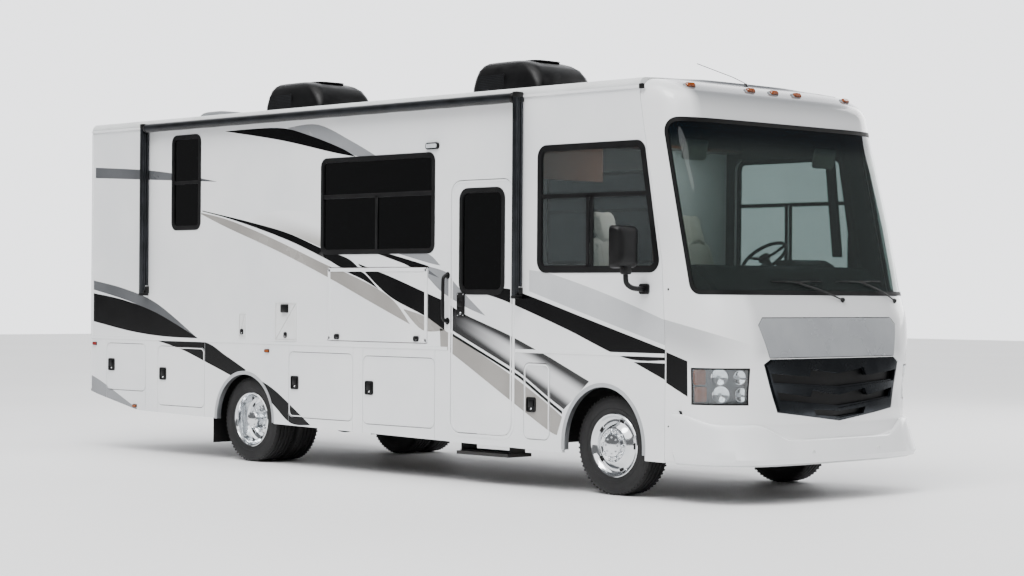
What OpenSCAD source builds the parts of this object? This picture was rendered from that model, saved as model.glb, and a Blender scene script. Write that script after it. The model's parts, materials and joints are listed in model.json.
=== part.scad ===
// Class A motorhome on a ladder chassis with twin rear wheels.
// +X points to the front, +Y to the driver's side, +Z up; the ground is at Z = 0.

/* [Overall] */
// Distance between the axles
wheelbase = 4826; // [4400:1:5600]
// Bumper's nose ahead of the front wheel arch's datum
front_overhang = 1424; // [1300:1:1600]
// Rear wall behind the rear wheel arch's datum
rear_overhang = 2700; // [2550:1:3000]
// How far both axles sit behind those datums
axle_back = 55; // [0:1:70]
// Width over the side walls
body_w = 2565; // [2400:1:2700]
// Height of the living floor above the ground
floor_top = 1140; // [1110:1:1250]
// Height of the roof's flat part above the ground
roof_top = 3392; // [3200:1:3900]

/* [Walls] */
// Thickness of the bonded side walls, rear wall and doors
wall_t = 45; // [30:1:60]
// Thickness of the lower skirt panels and their bay doors
skirt_t = 38; // [25:1:45]
// Thickness of the roof
roof_t = 90; // [60:1:110]
// Rise of the roof from its edge to the middle
roof_crown = 26; // [10:1:40]
// Radius of the roof's long edges
roof_edge_r = 70; // [40:1:85]
// Thickness of the floor
floor_t = 60; // [40:1:60]
// Thickness of the front cap's moulding
cap_t = 24; // [15:1:32]
// Thickness of glass
glass_t = 6; // [4:1:10]
// Gap around a door, lid or slide-out
door_gap = 6; // [5:1:9]
// Joint gap between fixed body panels
seam = 4; // [2:1:6]

/* [Wheels] */
// Tyre's outer diameter
tyre_d = 818; // [760:1:830]
// Tyre's width
tyre_w = 245; // [215:1:255]
// Rim's outer diameter over its lips
rim_d = 530; // [490:1:560]
// Front tyre's middle from the centre line
front_track_half = 1045; // [1000:1:1080]
// Kingpin from the centre line
kingpin_half = 900; // [860:1:920]
// Outer rear tyre's middle from the centre line
rear_outer_half = 1072; // [1060:1:1085]
// Spacing of the twin tyres
dual_spacing = 285; // [265:1:300]
// Front wheel arch, half length and height over the hub
front_arch = [468, 508];
// Rear wheel arch, half length and height over the hub
rear_arch = [468, 468];

/* [Doors and windows] */
// Entry door's rear edge behind the front axle
door_back = 1903; // [1850:1:1960]
// Entry door's width
door_w = 767; // [680:1:800]
// Entry door's lower edge above the ground
door_low = 436; // [400:1:500]
// Entry door's height
door_h = 2184; // [1900:1:2300]
// Depth of the luggage bays inside the skirt
bay_depth = 700; // [500:1:720]
// How far the slide-out room travels
slide_travel = 760; // [400:1:900]
// Slide-out room's length
slide_len = 2900; // [2200:1:3100]

/* [Roof and outside] */
// Height of an air conditioner over the roof
ac_h = 400; // [250:1:420]
// Length of an air conditioner
ac_len = 910; // [800:1:1200]
// Diameter of the awning's roller
roller_d = 92; // [70:1:110]
// How far the ladder stands off the rear wall
ladder_reach = 80; // [60:1:110]
// Inside width of the square tow receiver
receiver_w = 51; // [40:1:64]

/* [Chassis] */
// Distance between the outer faces of the frame rails
frame_w = 864; // [780:1:900]
// Height of a frame rail
rail_h = 240; // [200:1:260]

/* [Hidden] */
$fn = 96;

// Places along the body
overall_len = front_overhang + wheelbase + rear_overhang + ladder_reach;
rear_x = ladder_reach - overall_len / 2;
coach_x = rear_x + rear_overhang;
cab_x = coach_x + wheelbase;
rear_axle_x = coach_x - axle_back;
front_axle_x = cab_x - axle_back;
half_w = body_w / 2;
wall_in = half_w - wall_t;
skirt_in = half_w - skirt_t;
hub_z = tyre_d / 2;
belt_z = floor_top + 20;
floor_low = floor_top - floor_t;
rail_y = frame_w / 2;
rail_web = 12;
rail_flange = 76;
roof_side_z = roof_top - roof_t;

// The front cap meets the coach along this line, as distance ahead of the front axle and height
seam_line = [[619, 200], [619, floor_top + 64], [578, floor_top + 762], [328, roof_top - 150],
    [328, roof_top + 60]];

// Front cap's plan at each height:
// height, nose ahead of the front axle, half-width loss, corner start, squareness of the corner
cap_levels = [
    [300, front_overhang - 50, 20, 674, 3.6],
    [340, front_overhang, 0, 674, 3.6],
    [480, front_overhang - 35, 0, 624, 3.5],
    [635, front_overhang - 63, 0, 624, 3.3],
    [800, front_overhang - 75, 0, 624, 3.3],
    [1140, front_overhang - 107, 0, 624, 4.2],
    [1463, front_overhang - 181, 0, 614, 5.5],
    [1633, front_overhang - 254, 0, 594, 6],
    [1950, front_overhang - 334, 0, 552, 6],
    [roof_top - 1092, front_overhang - 420, 0, 504, 6],
    [roof_top - 700, front_overhang - 535, 0, 430, 6],
    [roof_top - 332, front_overhang - 642, 0, 354, 6],
    [roof_top - 192, front_overhang - 665, 0, 334, 5.5],
    [roof_top - 130, front_overhang - 700, 8, 318, 5],
    [roof_top - 92, front_overhang - 750, 22, 304, 4.5],
    [roof_top - 50, front_overhang - 835, 60, 298, 4.2],
    [roof_top - 16, front_overhang - 960, 112, 290, 3.8],
    [roof_top, front_overhang - 1060, 170, 280, 3.5],
    [roof_top + roof_crown, front_overhang - 1085, 560, 270, 3]];
cap_back = 60;

// Headlamps, grille, hood and windshield in the front cap
lamp_low = 780;
lamp_high = 1072;
lamp_in = half_w - 290;
lamp_back = 882;
hood_low = 1152;
hood_high = 1463;
hood_half = [800, 885];
hood_corner = 60;
grille_outline = [[-800, 1140], [800, 1140], [870, 1100], [740, 720], [0, 635], [-740, 720], [-870, 1100]];
glass_low = 1645;
glass_high = roof_top - 337;
glass_back = [858, 588];

// Arches, doors and windows seen from the side: first X, last X, low, high, corner radius
front_arch_x = cab_x - 64;
rear_arch_x = coach_x - 45;
door_x0 = cab_x - door_back;
door_x1 = door_x0 + door_w;
door_box = [door_x0, door_x1, door_low, door_low + door_h, 110];
door_window = [door_x0 + 110, door_x1 - 106, floor_top + 504, door_low + door_h - 31 - 45, 90];
// First X, low, high, corner radius; its front edge leans
cab_window = [door_x1 + 310, floor_top + 690, floor_top + 1734, 90];
bay_right = [
    [coach_x - 2401, coach_x - 1706, 627, 1103, 60],
    [coach_x - 1483, coach_x - 692, 500, 1091, 60],
    [coach_x + 652, coach_x + 1587, 469, 1079, 60],
    [coach_x + 1736, coach_x + 2710, 455, 1067, 60]];
bay_left = [
    [coach_x - 2401, coach_x - 1000, 627, 1103, 60],
    [coach_x + 652, coach_x + 1587, 469, 1079, 60],
    [coach_x + 1736, coach_x + 2710, 455, 1067, 60]];
utility_box = [door_x1 + 150, door_x1 + 456, 425, 1059, 60];
galley_door_box = [coach_x + 1225, coach_x + 2610, belt_z + 43, floor_top + 731, 12];
bed_window = [coach_x - 1253, coach_x - 783, roof_top - 1123, roof_top - 194, 70];
galley_window = [coach_x + 1125, coach_x + 2690, floor_top + 866, roof_top - 516, 70];
slide_box = [coach_x + 1000, coach_x + 1000 + slide_len, floor_top + 70, roof_top - 230, 1];
slide_window = [slide_box[0] + 500, slide_box[1] - 600, floor_top + 800, roof_top - 560, 70];
bed_window_left = [coach_x - 1500, coach_x - 700, floor_top + 900, roof_top - 500, 70];

// ---- small helpers ----
// Rounded rectangle: b = [x0, x1, y0, y1, radius], grown by g
module rounded_box(b, g = 0) {
    r = b[4] + g;
    corners = [[b[1] + g - r, b[3] + g - r, 0], [b[0] - g + r, b[3] + g - r, 90],
        [b[0] - g + r, b[2] - g + r, 180], [b[1] + g - r, b[2] - g + r, 270]];
    polygon([for (c = corners) for (a = [0:15:90]) [c[0] + r * cos(c[2] + a), c[1] + r * sin(c[2] + a)]]);
}
// Stands a side view up as a panel whose outer face is at y, on side s (-1 right, 1 left)
module side_panel(s, y, t) {
    translate([0, s < 0 ? -y + t : y, 0]) rotate([90, 0, 0]) linear_extrude(t) children();
}
module block(x0, x1, y0, y1, z0, z1) {
    translate([x0, y0, z0]) cube([x1 - x0, y1 - y0, z1 - z0]);
}
module both_sides() {
    children();
    mirror([0, 1, 0]) children();
}
module arch_shape(x, size) {
    polygon([for (a = [0:6:180]) [x + size[0] * cos(a), hub_z + size[1] * sin(a)],
        [x - size[0], 0], [x + size[0], 0]]);
}

// ---- chassis ----
module frame_rails() {
    x0 = rear_x + 60;
    x1 = front_axle_x + 1150;
    both_sides() difference() {
        block(x0, x1, rail_y - rail_flange, rail_y, floor_low - rail_h, floor_low);
        block(x0 - 1, x1 + 1, rail_y - rail_flange - 1, rail_y - rail_web, floor_low - rail_h + rail_web,
            floor_low - rail_web);
    }
    y_in = rail_y - rail_web;
    for (x = [x0 + 20, rear_axle_x - 1300, rear_axle_x - 620, rear_axle_x + 620, rear_axle_x + 1750,
            front_axle_x - 1500, x1 - 120])
        block(x, x + 70, -y_in, y_in, floor_low - rail_h + rail_web, floor_low - rail_web);
}
module chassis_frame() color("#2b2c2e") frame_rails();

module engine_block() color("#4a4c4f")
    block(front_axle_x - 280, front_axle_x + 620, -320, 320, hub_z + 210, floor_low - 2);

module radiator() color("#232425") {
    gap = 20;
    y = rail_y - rail_flange - gap;
    block(front_axle_x + 930, front_axle_x + 1000, -y, y, 520, floor_low);
}

module fuel_tank() color("#1d1e20")
    block(rear_axle_x + 800, rear_axle_x + 1700, -300, 300, 480, floor_low - rail_h + rail_web);

module exhaust_system() color("#6b6259") {
    y = 0.75 * rail_y;
    translate([rear_axle_x + 1900, -y, 640]) rotate([0, 90, 0]) cylinder(h = 900, r = 100);
    translate([rear_axle_x + 2799, -y, 640]) rotate([0, 90, 0]) cylinder(h = wheelbase - 3500, r = 32);
}

spring_y = rail_y + 52;
spring_w = 76;
module leaf_pack(x, low, reach) {
    for (i = [0:4])
        block(x - reach * (1 - 0.17 * i), x + reach * (1 - 0.17 * i), spring_y - spring_w / 2,
            spring_y + spring_w / 2, low - 12 * (i + 1), low - 12 * i);
    for (e = [-1, 1])
        block(x + e * (reach - 30) - 30, x + e * (reach - 30) + 30, rail_y, spring_y + spring_w / 2,
            low, floor_low);
}
spring_low = hub_z + 150;
module leaf_springs() color("#33343a") both_sides() {
    leaf_pack(front_axle_x, spring_low, 700);
    leaf_pack(rear_axle_x, spring_low, 780);
}

kingpin_r = 22;
pin_gap = 0.05;
knuckle_h = 200;
module front_axle() color("#3a3b3d") {
    beam_end = kingpin_half - 60;
    difference() {
        union() {
            block(front_axle_x - 45, front_axle_x + 45, -beam_end - 30, beam_end + 30,
                hub_z - 60, hub_z + 60);
            both_sides() translate([front_axle_x, kingpin_half, hub_z - 60]) cylinder(h = 120, r = 48);
        }
        both_sides() translate([front_axle_x, kingpin_half, hub_z - 100])
            cylinder(h = 200, r = kingpin_r + pin_gap);
    }
    both_sides() block(front_axle_x - 50, front_axle_x + 50, spring_y - spring_w / 2,
        spring_y + spring_w / 2, hub_z + 60, spring_low - 60);
}

front_spindle_r = 34;
module knuckle(s) color("#45474a") {
    mid = s * kingpin_half;
    translate([front_axle_x, mid, hub_z - knuckle_h / 2]) cylinder(h = knuckle_h, r = kingpin_r);
    for (z = [hub_z - knuckle_h / 2, hub_z + knuckle_h / 2 - 36])
        block(front_axle_x - 45, front_axle_x + 45, min(mid - s * 30, mid + s * 60),
            max(mid - s * 30, mid + s * 60), z, z + 36);
    block(front_axle_x - 55, front_axle_x + 55, min(mid + s * 52, mid + s * 66),
        max(mid + s * 52, mid + s * 66), hub_z - knuckle_h / 2, hub_z + knuckle_h / 2);
    translate([front_axle_x, mid + s * 66, hub_z]) rotate([-s * 90, 0, 0])
        cylinder(h = front_track_half - kingpin_half - 66 + 60, r = front_spindle_r);
}

axle_tube_r = 62;
rear_spindle_r = 48;
hub_inner = rear_outer_half - dual_spacing - tyre_w / 2;
module rear_axle() color("#3a3b3d") {
    translate([rear_axle_x, -hub_inner + 20, hub_z]) rotate([-90, 0, 0])
        cylinder(h = 2 * hub_inner - 40, r = axle_tube_r);
    translate([rear_axle_x, -hub_inner - 150, hub_z]) rotate([-90, 0, 0])
        cylinder(h = 2 * hub_inner + 300, r = rear_spindle_r);
    translate([rear_axle_x, 0, hub_z]) sphere(r = 170);
    translate([rear_axle_x + 150, 0, hub_z + 20]) rotate([0, 90, 0]) cylinder(h = 620, r = 45);
    both_sides() block(rear_axle_x - 50, rear_axle_x + 50, spring_y - spring_w / 2,
        spring_y + spring_w / 2, hub_z + 30, spring_low - 60);
}

bumper_low = 590;
bumper_high = 700;
bumper_back = rear_x + 2;
bumper_front = rear_x + 60;
module rear_bumper() color("#2f3133") {
    w = receiver_w / 2;
    wall = 8;
    z = bumper_low + 30;
    difference() {
        union() {
            block(bumper_back, bumper_front, -half_w + 90, half_w - 90, bumper_low, bumper_high);
            block(bumper_front - 1, bumper_front + 200, -w - wall, w + wall, z - wall, z + receiver_w + wall);
        }
        block(bumper_back - 10, bumper_front + 210, -w, w, z, z + receiver_w);
    }
    both_sides() block(bumper_front, bumper_front + 80, rail_y - rail_flange, rail_y, bumper_low,
        floor_low - rail_h);
}

// ---- wheels ----
bead_r = 247;
lip_in = 13;
module tyre(y) color("#1c1c1d") {
    r = tyre_d / 2;
    w = tyre_w / 2;
    translate([0, y, hub_z]) rotate([-90, 0, 0]) rotate_extrude()
        polygon([[bead_r, -w + 22], [bead_r, w - 22], [bead_r + 30, w - 14], [r - 75, w], [r - 30, w - 8],
            [r - 8, w - 26], [r, w - 48], [r, -w + 48], [r - 8, -w + 26], [r - 30, -w + 8], [r - 75, -w],
            [bead_r + 30, -w + 14]]);
}
// One rim with its disc; disc is the disc's middle from the tyre's middle
module rim(y, disc, hub_len, bore_r) color("#c9ccd0") {
    w = tyre_w / 2;
    translate([0, y, hub_z]) rotate([-90, 0, 0]) difference() {
        union() {
            difference() {
                cylinder(h = tyre_w - 2 * lip_in, r = bead_r, center = true);
                cylinder(h = tyre_w, r = bead_r - 14, center = true);
            }
            for (e = [-1, 1]) translate([0, 0, e * (w - lip_in + 4)]) difference() {
                cylinder(h = 8, r = rim_d / 2, center = true);
                cylinder(h = 10, r = bead_r - 14, center = true);
            }
            translate([0, 0, disc]) cylinder(h = 14, r = bead_r - 10, center = true);
            translate([0, 0, disc]) cylinder(h = hub_len, r = 112, center = true);
        }
        cylinder(h = tyre_w * 3, r = bore_r + pin_gap, center = true);
        for (a = [22.5:45:360]) rotate(a) translate([178, 0, disc]) cylinder(h = 40, r = 27, center = true);
    }
}
module front_rim(s) {
    translate([front_axle_x, 0, 0]) rim(s * front_track_half, s * 40, 90, front_spindle_r);
}
module rear_rims(s) {
    translate([rear_axle_x, 0, 0]) {
        rim(s * rear_outer_half, -s * (dual_spacing / 2 - 14 / 2), 60, rear_spindle_r);
        rim(s * (rear_outer_half - dual_spacing), s * (dual_spacing / 2 - 14 / 2), 60, rear_spindle_r);
    }
}

house_t = 8;
house_in = 620;
// Room round the arch: the front tyres swing when they steer
front_spare = [125, 60];
rear_spare = [60, 40];
module wheelhouse(x, size) {
    side_panel(1, skirt_in, skirt_in - house_in) difference() {
        arch_shape(x, size);
        arch_shape(x, [size[0] - house_t, size[1] - house_t]);
        translate([x - 2000, -1000]) square([4000, 1000 + hub_z - 10]);
    }
}
module wheelhouses() color("#1b1c1d") both_sides() {
    wheelhouse(front_arch_x, front_arch + front_spare);
    wheelhouse(rear_arch_x, rear_arch + rear_spare);
}

// ---- coach ----
cabin_x0 = rear_x + wall_t;
stair_y0 = -wall_in + door_gap;
stair_y1 = -half_w + 640;
module floor_board() color("#8c7a63") {
    difference() {
        block(cabin_x0, cab_x + 600, -wall_in, wall_in, floor_low, floor_top);
        block(door_x0, door_x1, -wall_in - 1, stair_y1, floor_low - 1, floor_top + 1);
    }
    block(cab_x + 600, cab_x + 1000, -half_w + 240, half_w - 240, floor_low, floor_top);
}
module stepwell() color("#3b3a39") {
    t = 12;
    steps = 3;
    z0 = door_low + 14;
    rise = (floor_low - z0 - t) / (steps - 1);
    run = (stair_y1 - stair_y0) / steps;
    for (i = [0:steps - 1])
        block(door_x0, door_x1, stair_y0 + i * run, stair_y0 + (i + 1) * run,
            z0 + i * rise, z0 + i * rise + t);
    for (i = [1:steps - 1])
        block(door_x0, door_x1, stair_y0 + i * run - t, stair_y0 + i * run, z0 + (i - 1) * rise,
            z0 + i * rise + t);
    for (x = [door_x0, door_x1 - t])
        block(x, x + t, stair_y0, stair_y1, z0, floor_low);
}
module outside_step() color("#1e1f20") {
    drop = 190;
    tread_t = 30;
    tread_deep = 280;
    side = 60;
    bracket_t = 10;
    z = door_low - drop;
    block(door_x0 + side, door_x1 - side, -half_w + 20, -half_w + 20 + tread_deep, z, z + tread_t);
    for (x = [door_x0 + side + 15, door_x1 - side - 15 - bracket_t])
        block(x, x + bracket_t, -skirt_in + 22, -half_w + 240, z + tread_t, door_low + 14);
}

// Side view of the coach behind the front cap, from height z0 to z1
module coach_side(z0, z1, back) {
    intersection() {
        polygon([[back, z0], [cab_x + 2000, z0], [cab_x + 2000, z1], [back, z1]]);
        polygon(concat([for (p = seam_line) [cab_x + p[0] - seam, p[1]]],
            [[rear_x - 10, roof_top + 60], [rear_x - 10, 200]]));
    }
}
// The cab window's front edge leans with the windshield
module cab_window_shape(g = 0) {
    x0 = cab_window[0] - g;
    r = cab_window[3] + g;
    z0 = cab_window[1] - g;
    z1 = cab_window[2] + g;
    top = cab_x + 384 + g;
    low = cab_x + 534 + g;
    corners = [[top - r, z1 - r, 0, 84], [x0 + r, z1 - r, 90, 180], [x0 + r, z0 + r, 180, 270],
        [low - r, z0 + r, 270, 366]];
    polygon([for (c = corners) for (k = [0:6])
        [c[0] + r * cos(c[2] + k * (c[3] - c[2]) / 6), c[1] + r * sin(c[2] + k * (c[3] - c[2]) / 6)]]);
}
module side_wall(s) {
    side_panel(s, half_w, wall_t) difference() {
        coach_side(belt_z, roof_side_z, cabin_x0);
        cab_window_shape();
        if (s < 0) {
            rounded_box(door_box, door_gap);
            rounded_box(galley_door_box, door_gap);
            rounded_box(bed_window);
            rounded_box(galley_window);
        } else {
            rounded_box(slide_box, door_gap);
            rounded_box(bed_window_left);
        }
    }
}
module side_wall_right() color("#eef0f1") side_wall(-1);
module side_wall_left() color("#eef0f1") side_wall(1);

module skirt_side() {
    intersection() {
        coach_side(0, belt_z - seam, rear_x);
        polygon([[cab_x + 640, 310], [cab_x - 1856, 350], [coach_x - 1830, 428],
            [rear_x, 592], [rear_x, belt_z], [cab_x + 640, belt_z]]);
    }
}
module skirt(s, bays) {
    side_panel(s, half_w, skirt_t) difference() {
        skirt_side();
        arch_shape(front_arch_x, front_arch);
        arch_shape(rear_arch_x, rear_arch);
        for (b = bays) {
            rounded_box(b, door_gap);
            // The skirt is hung in sections that meet at the bay doors' edges
            for (x = [b[0] - door_gap, b[1] + door_gap - seam]) translate([x, 0]) square([seam, belt_z]);
        }
        if (s < 0) {
            rounded_box(door_box, door_gap);
            rounded_box(utility_box, door_gap);
        }
    }
}
module skirt_right() color("#f0f1f2") skirt(-1, bay_right);
module skirt_left() color("#f0f1f2") skirt(1, bay_left);

module rear_wall() color("#eef0f1") difference() {
    block(rear_x, rear_x + wall_t, -half_w + 2, half_w - 2, 700, roof_side_z);
    block(rear_x - 1, rear_x + wall_t + 1, -half_w, -half_w + skirt_t + 1, 600, belt_z);
    block(rear_x - 1, rear_x + wall_t + 1, half_w - skirt_t - 1, half_w, 600, belt_z);
}

// Roof: a crowned slab with rounded long edges
module roof() color("#e9ebec") roof_slab();
module roof_slab() {
    r = roof_edge_r;
    edge = [for (a = [0:10:90]) [half_w - r + r * cos(a), roof_top - r + r * sin(a)]];
    crown = [for (k = [1:11]) let (y = (half_w - r) * (1 - k / 6))
        [y, roof_top + roof_crown * (1 - pow(y / (half_w - r), 2))]];
    section = concat([[half_w, roof_side_z]], edge, crown,
        [for (i = [len(edge) - 1:-1:0]) [-edge[i][0], edge[i][1]]], [[-half_w, roof_side_z]]);
    translate([rear_x, 0, 0]) rotate([90, 0, 90])
        linear_extrude(cab_x + 328 - seam - rear_x) polygon(section);
}

// Luggage bays: boxes open to their doors
bay_wall = 8;
module bay(s, b) {
    out = s * skirt_in;
    deep = s * (skirt_in - bay_depth);
    y0 = min(out, deep);
    y1 = max(out, deep);
    z1 = min(b[3] + 10, floor_low - 2);
    difference() {
        block(b[0] - 14, b[1] + 14, y0, y1, b[2] - 14, z1);
        block(b[0] - 14 + bay_wall, b[1] + 14 - bay_wall, y0 + (s < 0 ? -1 : bay_wall),
            y1 + (s < 0 ? -bay_wall : 1), b[2] - 14 + bay_wall, z1 - bay_wall);
    }
}
// Two doors side by side open the same bay
function joined_bay(a, b) = [a[0], b[1], min(a[2], b[2]), max(a[3], b[3]), a[4]];
module luggage_bays() color("#2a2b2c") {
    bay(-1, bay_right[0]);
    bay(-1, bay_right[1]);
    bay(-1, joined_bay(bay_right[2], bay_right[3]));
    bay(1, bay_left[0]);
    bay(1, joined_bay(bay_left[1], bay_left[2]));
}

// ---- front cap ----
cap_steps = 36;
function cap_ring(level, inset, lift) = let (
        z = level[0] - lift,
        start = cab_x + level[3],
        reach = level[1] - level[3] - inset,
        w = half_w - level[2] - inset,
        n = level[4])
    concat([[cab_x + cap_back, -w, z]],
        [for (k = [0:cap_steps]) let (a = -90 + 180 * k / cap_steps,
                r = pow(pow(abs(cos(a)), n) + pow(abs(sin(a)), n), -1 / n))
            [start + reach * r * cos(a), w * r * sin(a), z]],
        [[cab_x + cap_back, w, z]]);
module lofted(rings) {
    m = len(rings[0]);
    n = len(rings);
    polyhedron(
        points = concat([for (r = rings) each r]),
        faces = concat(
            [[for (j = [0:m - 1]) j]],
            [[for (j = [m - 1:-1:0]) (n - 1) * m + j]],
            [for (i = [0:n - 2]) for (j = [0:m - 1]) each [
                [i * m + j, (i + 1) * m + j, (i + 1) * m + (j + 1) % m],
                [i * m + j, (i + 1) * m + (j + 1) % m, i * m + (j + 1) % m]]]),
        convexity = 8);
}
module cap_solid(inset) {
    lift_start = roof_top - 332;
    lofted([for (v = cap_levels) cap_ring(v, inset,
        inset * (v[0] < lift_start ? (v[0] < 320 ? 1 : 0)
            : 1.2 * (v[0] - lift_start) / (roof_top - lift_start)))]);
}
// Region in front of the seam with the coach
module ahead_of_seam() {
    side_panel(1, half_w + 100, body_w + 200) polygon(concat(
        [for (p = seam_line) [cab_x + p[0], p[1]]],
        [[cab_x + 2000, roof_top + 60], [cab_x + 2000, 200]]));
}
// Side view of the windshield's opening, pulled in by g
module windshield_side(g) {
    r = 110 - g;
    low = cab_x + glass_back[0] + g;
    top = cab_x + glass_back[1] + g;
    corners = [[top + r, glass_high - g - r, 90, 191], [low + r, glass_low + g + r, 191, 270]];
    polygon(concat([for (c = corners) for (k = [0:6])
        [c[0] + r * cos(c[2] + k * (c[3] - c[2]) / 6), c[1] + r * sin(c[2] + k * (c[3] - c[2]) / 6)]],
        [[cab_x + 2000, glass_low + g], [cab_x + 2000, glass_high - g]]));
}
// Stands a front view up as a block reaching from x0 forward
module front_block(x0, len) {
    translate([x0, 0, 0]) rotate([90, 0, 90]) linear_extrude(len) children();
}
module hood_shape(g) {
    polygon([[-hood_half[0] - g, hood_low - g], [hood_half[0] + g, hood_low - g],
        [hood_half[1] + g, hood_high + g - hood_corner], [hood_half[1] + g - hood_corner, hood_high + g],
        [-hood_half[1] - g + hood_corner, hood_high + g], [-hood_half[1] - g, hood_high + g - hood_corner]]);
}
module lamp_region(g) {
    both_sides() block(cab_x + lamp_back + g, cab_x + 2000, lamp_in + g, half_w + 100,
        lamp_low + g, lamp_high - g);
}
module cap_shell(t) {
    intersection() {
        difference() {
            cap_solid(0);
            cap_solid(t);
        }
        ahead_of_seam();
    }
}
module front_cap() color("#e4e6e8") resize([0, 0, 0]) difference() {
    cap_shell(cap_t);
    side_panel(1, half_w + 100, body_w + 200) windshield_side(0);
    front_block(cab_x + 900, 900) hood_shape(door_gap);
    front_block(cab_x + 900, 900) polygon(grille_outline);
    lamp_region(0);
}
module windshield() color("#31434a") resize([0, 0, 0]) intersection() {
    cap_shell(glass_t);
    side_panel(1, half_w + 100, body_w + 200) windshield_side(1);
}
module hood() color("#dcdee0") resize([0, 0, 0]) intersection() {
    cap_shell(cap_t);
    front_block(cab_x + 900, 900) hood_shape(0);
}
module grille() color("#35383b") resize([0, 0, 0]) intersection() {
    cap_shell(cap_t * 2);
    front_block(cab_x + 900, 900) intersection() {
        polygon([for (p = grille_outline) [p[0] * 0.998, p[1] + (p[1] > 900 ? -1 : 1)]]);
        translate([-1000, 600]) square([2000, 600]);
    }
}
module headlights() color("#d8dde2") resize([0, 0, 0]) intersection() {
    cap_shell(cap_t * 2);
    lamp_region(1);
}

module glass_pane(s, y) {
    side_panel(s, y, glass_t) children();
}
module side_windows() color("#1a1c1e") {
    for (s = [-1, 1]) glass_pane(s, half_w - 8) cab_window_shape();
    glass_pane(-1, half_w - 8) rounded_box(bed_window);
    glass_pane(-1, half_w - 8) rounded_box(galley_window);
    glass_pane(1, half_w - 8) rounded_box(bed_window_left);
}

// ---- inside ----
steer_wheel_x = cab_x + 90;
steer_wheel_z = floor_top + 825;
steer_wheel_r = 210;
steer_shaft_r = 14;
column_tilt = 38;
dash_top = floor_top + 760;
module dashboard() color("#2a2a2b") {
    on_column() translate([0, 0, -560]) difference() {
        cylinder(h = 530, r = 34);
        translate([0, 0, 380]) cylinder(h = 200, r = steer_shaft_r + pin_gap);
    }
    x0 = cab_x + 420;
    side_panel(1, half_w - 190, body_w - 380) polygon([[x0, 1500], [x0, 1700], [x0 + 70, dash_top - 60],
        [x0 + 330, dash_top - 40], [cab_x + 1010, glass_low - 45], [cab_x + 1010, 1500]]);
    for (y = [-420, 380])
        block(x0 + 130, x0 + 200, y, y + 60, floor_top, 1501);
}
seat_y = 560;
seat_x = cab_x - 560;
seat_base_h = 330;
seat_top = floor_top + 470;
seat_recline = 12;
module cab_seat(y) {
    cushion = [500, 510];
    back = [120, 500, 560];
    headrest = [100, 300, 230];
    block(seat_x - 40, seat_x + 380, y - 180, y + 180, floor_top, floor_top + seat_base_h);
    block(seat_x - 60, seat_x - 60 + cushion[0], y - cushion[1] / 2, y + cushion[1] / 2,
        floor_top + seat_base_h, seat_top);
    translate([seat_x - 60, y, seat_top]) rotate([0, -seat_recline, 0]) {
        translate([-back[0] / 2, -back[1] / 2, -20]) cube(back);
        translate([-headrest[0] / 2, -headrest[1] / 2, back[2] - 20]) cube(headrest);
    }
}
module cab_seats() color("#e7e3da") both_sides() cab_seat(seat_y);

// Galley cabinet along the right wall, and the bed's base across the rear
module furniture() color("#5b4636") {
    block(door_x0 - 1700, door_x0 - 60, -wall_in, -wall_in + 600, floor_top, floor_top + 860);
    block(cabin_x0 + 300, cabin_x0 + 1830, -700, 700, floor_top, floor_top + 520);
}

// The steering wheel's axis leans back to the driver, and its shaft turns in the column
module on_column() {
    translate([steer_wheel_x, seat_y, steer_wheel_z]) rotate([0, -column_tilt, 0]) children();
}
module steering_wheel() color("#202021") on_column() {
    rotate_extrude() translate([steer_wheel_r, 0]) circle(r = 16);
    for (a = [30, 150, 270]) rotate(a) rotate([0, 90, 0]) cylinder(h = steer_wheel_r - 5, r = 11);
    cylinder(h = 40, r = 55, center = true);
    translate([0, 0, -120]) cylinder(h = 110, r = steer_shaft_r);
}

// ---- outside fittings ----
mirror_x = cab_x + 400;
mirror_head = [110, 370];
mirror_low = 1850;
mirror_high = 2190;
mirror_arm_z = 1665;
module door_mirrors() color("#17181a") both_sides() {
    arm_t = 37;
    post = [half_w + 200, half_w + 250];
    block(mirror_x - 55, mirror_x + 45, half_w + mirror_head[0], half_w + mirror_head[1],
        mirror_low, mirror_high);
    block(mirror_x - 25, mirror_x + 15, post[0], post[1], mirror_arm_z + arm_t - 2, mirror_low + 2);
    block(mirror_x - 25, mirror_x + 15, half_w, post[1], mirror_arm_z, mirror_arm_z + arm_t);
}

awning_x0 = coach_x - 1640;
awning_x1 = door_x1 + 80;
awning_z = roof_top - 95;
arm_low = 1600;
arm_w = 58;
awning_off = half_w + 12;
module awning_roller() color("#1c1d1f")
    translate([awning_x0, -awning_off - roller_d / 2, awning_z]) rotate([0, 90, 0])
        cylinder(h = awning_x1 - awning_x0, r = roller_d / 2);
module awning_arms() color("#141516") {
    for (x = [awning_x0 - arm_w / 2, awning_x1 + arm_w / 2]) {
        block(x - arm_w / 2, x + arm_w / 2, -awning_off - 88, -awning_off, arm_low, awning_z + 50);
        for (z = [arm_low + 20, awning_z - 40])
            block(x - arm_w / 2 + 8, x + arm_w / 2 - 8, -awning_off, -half_w, z, z + 80);
    }
}

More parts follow.
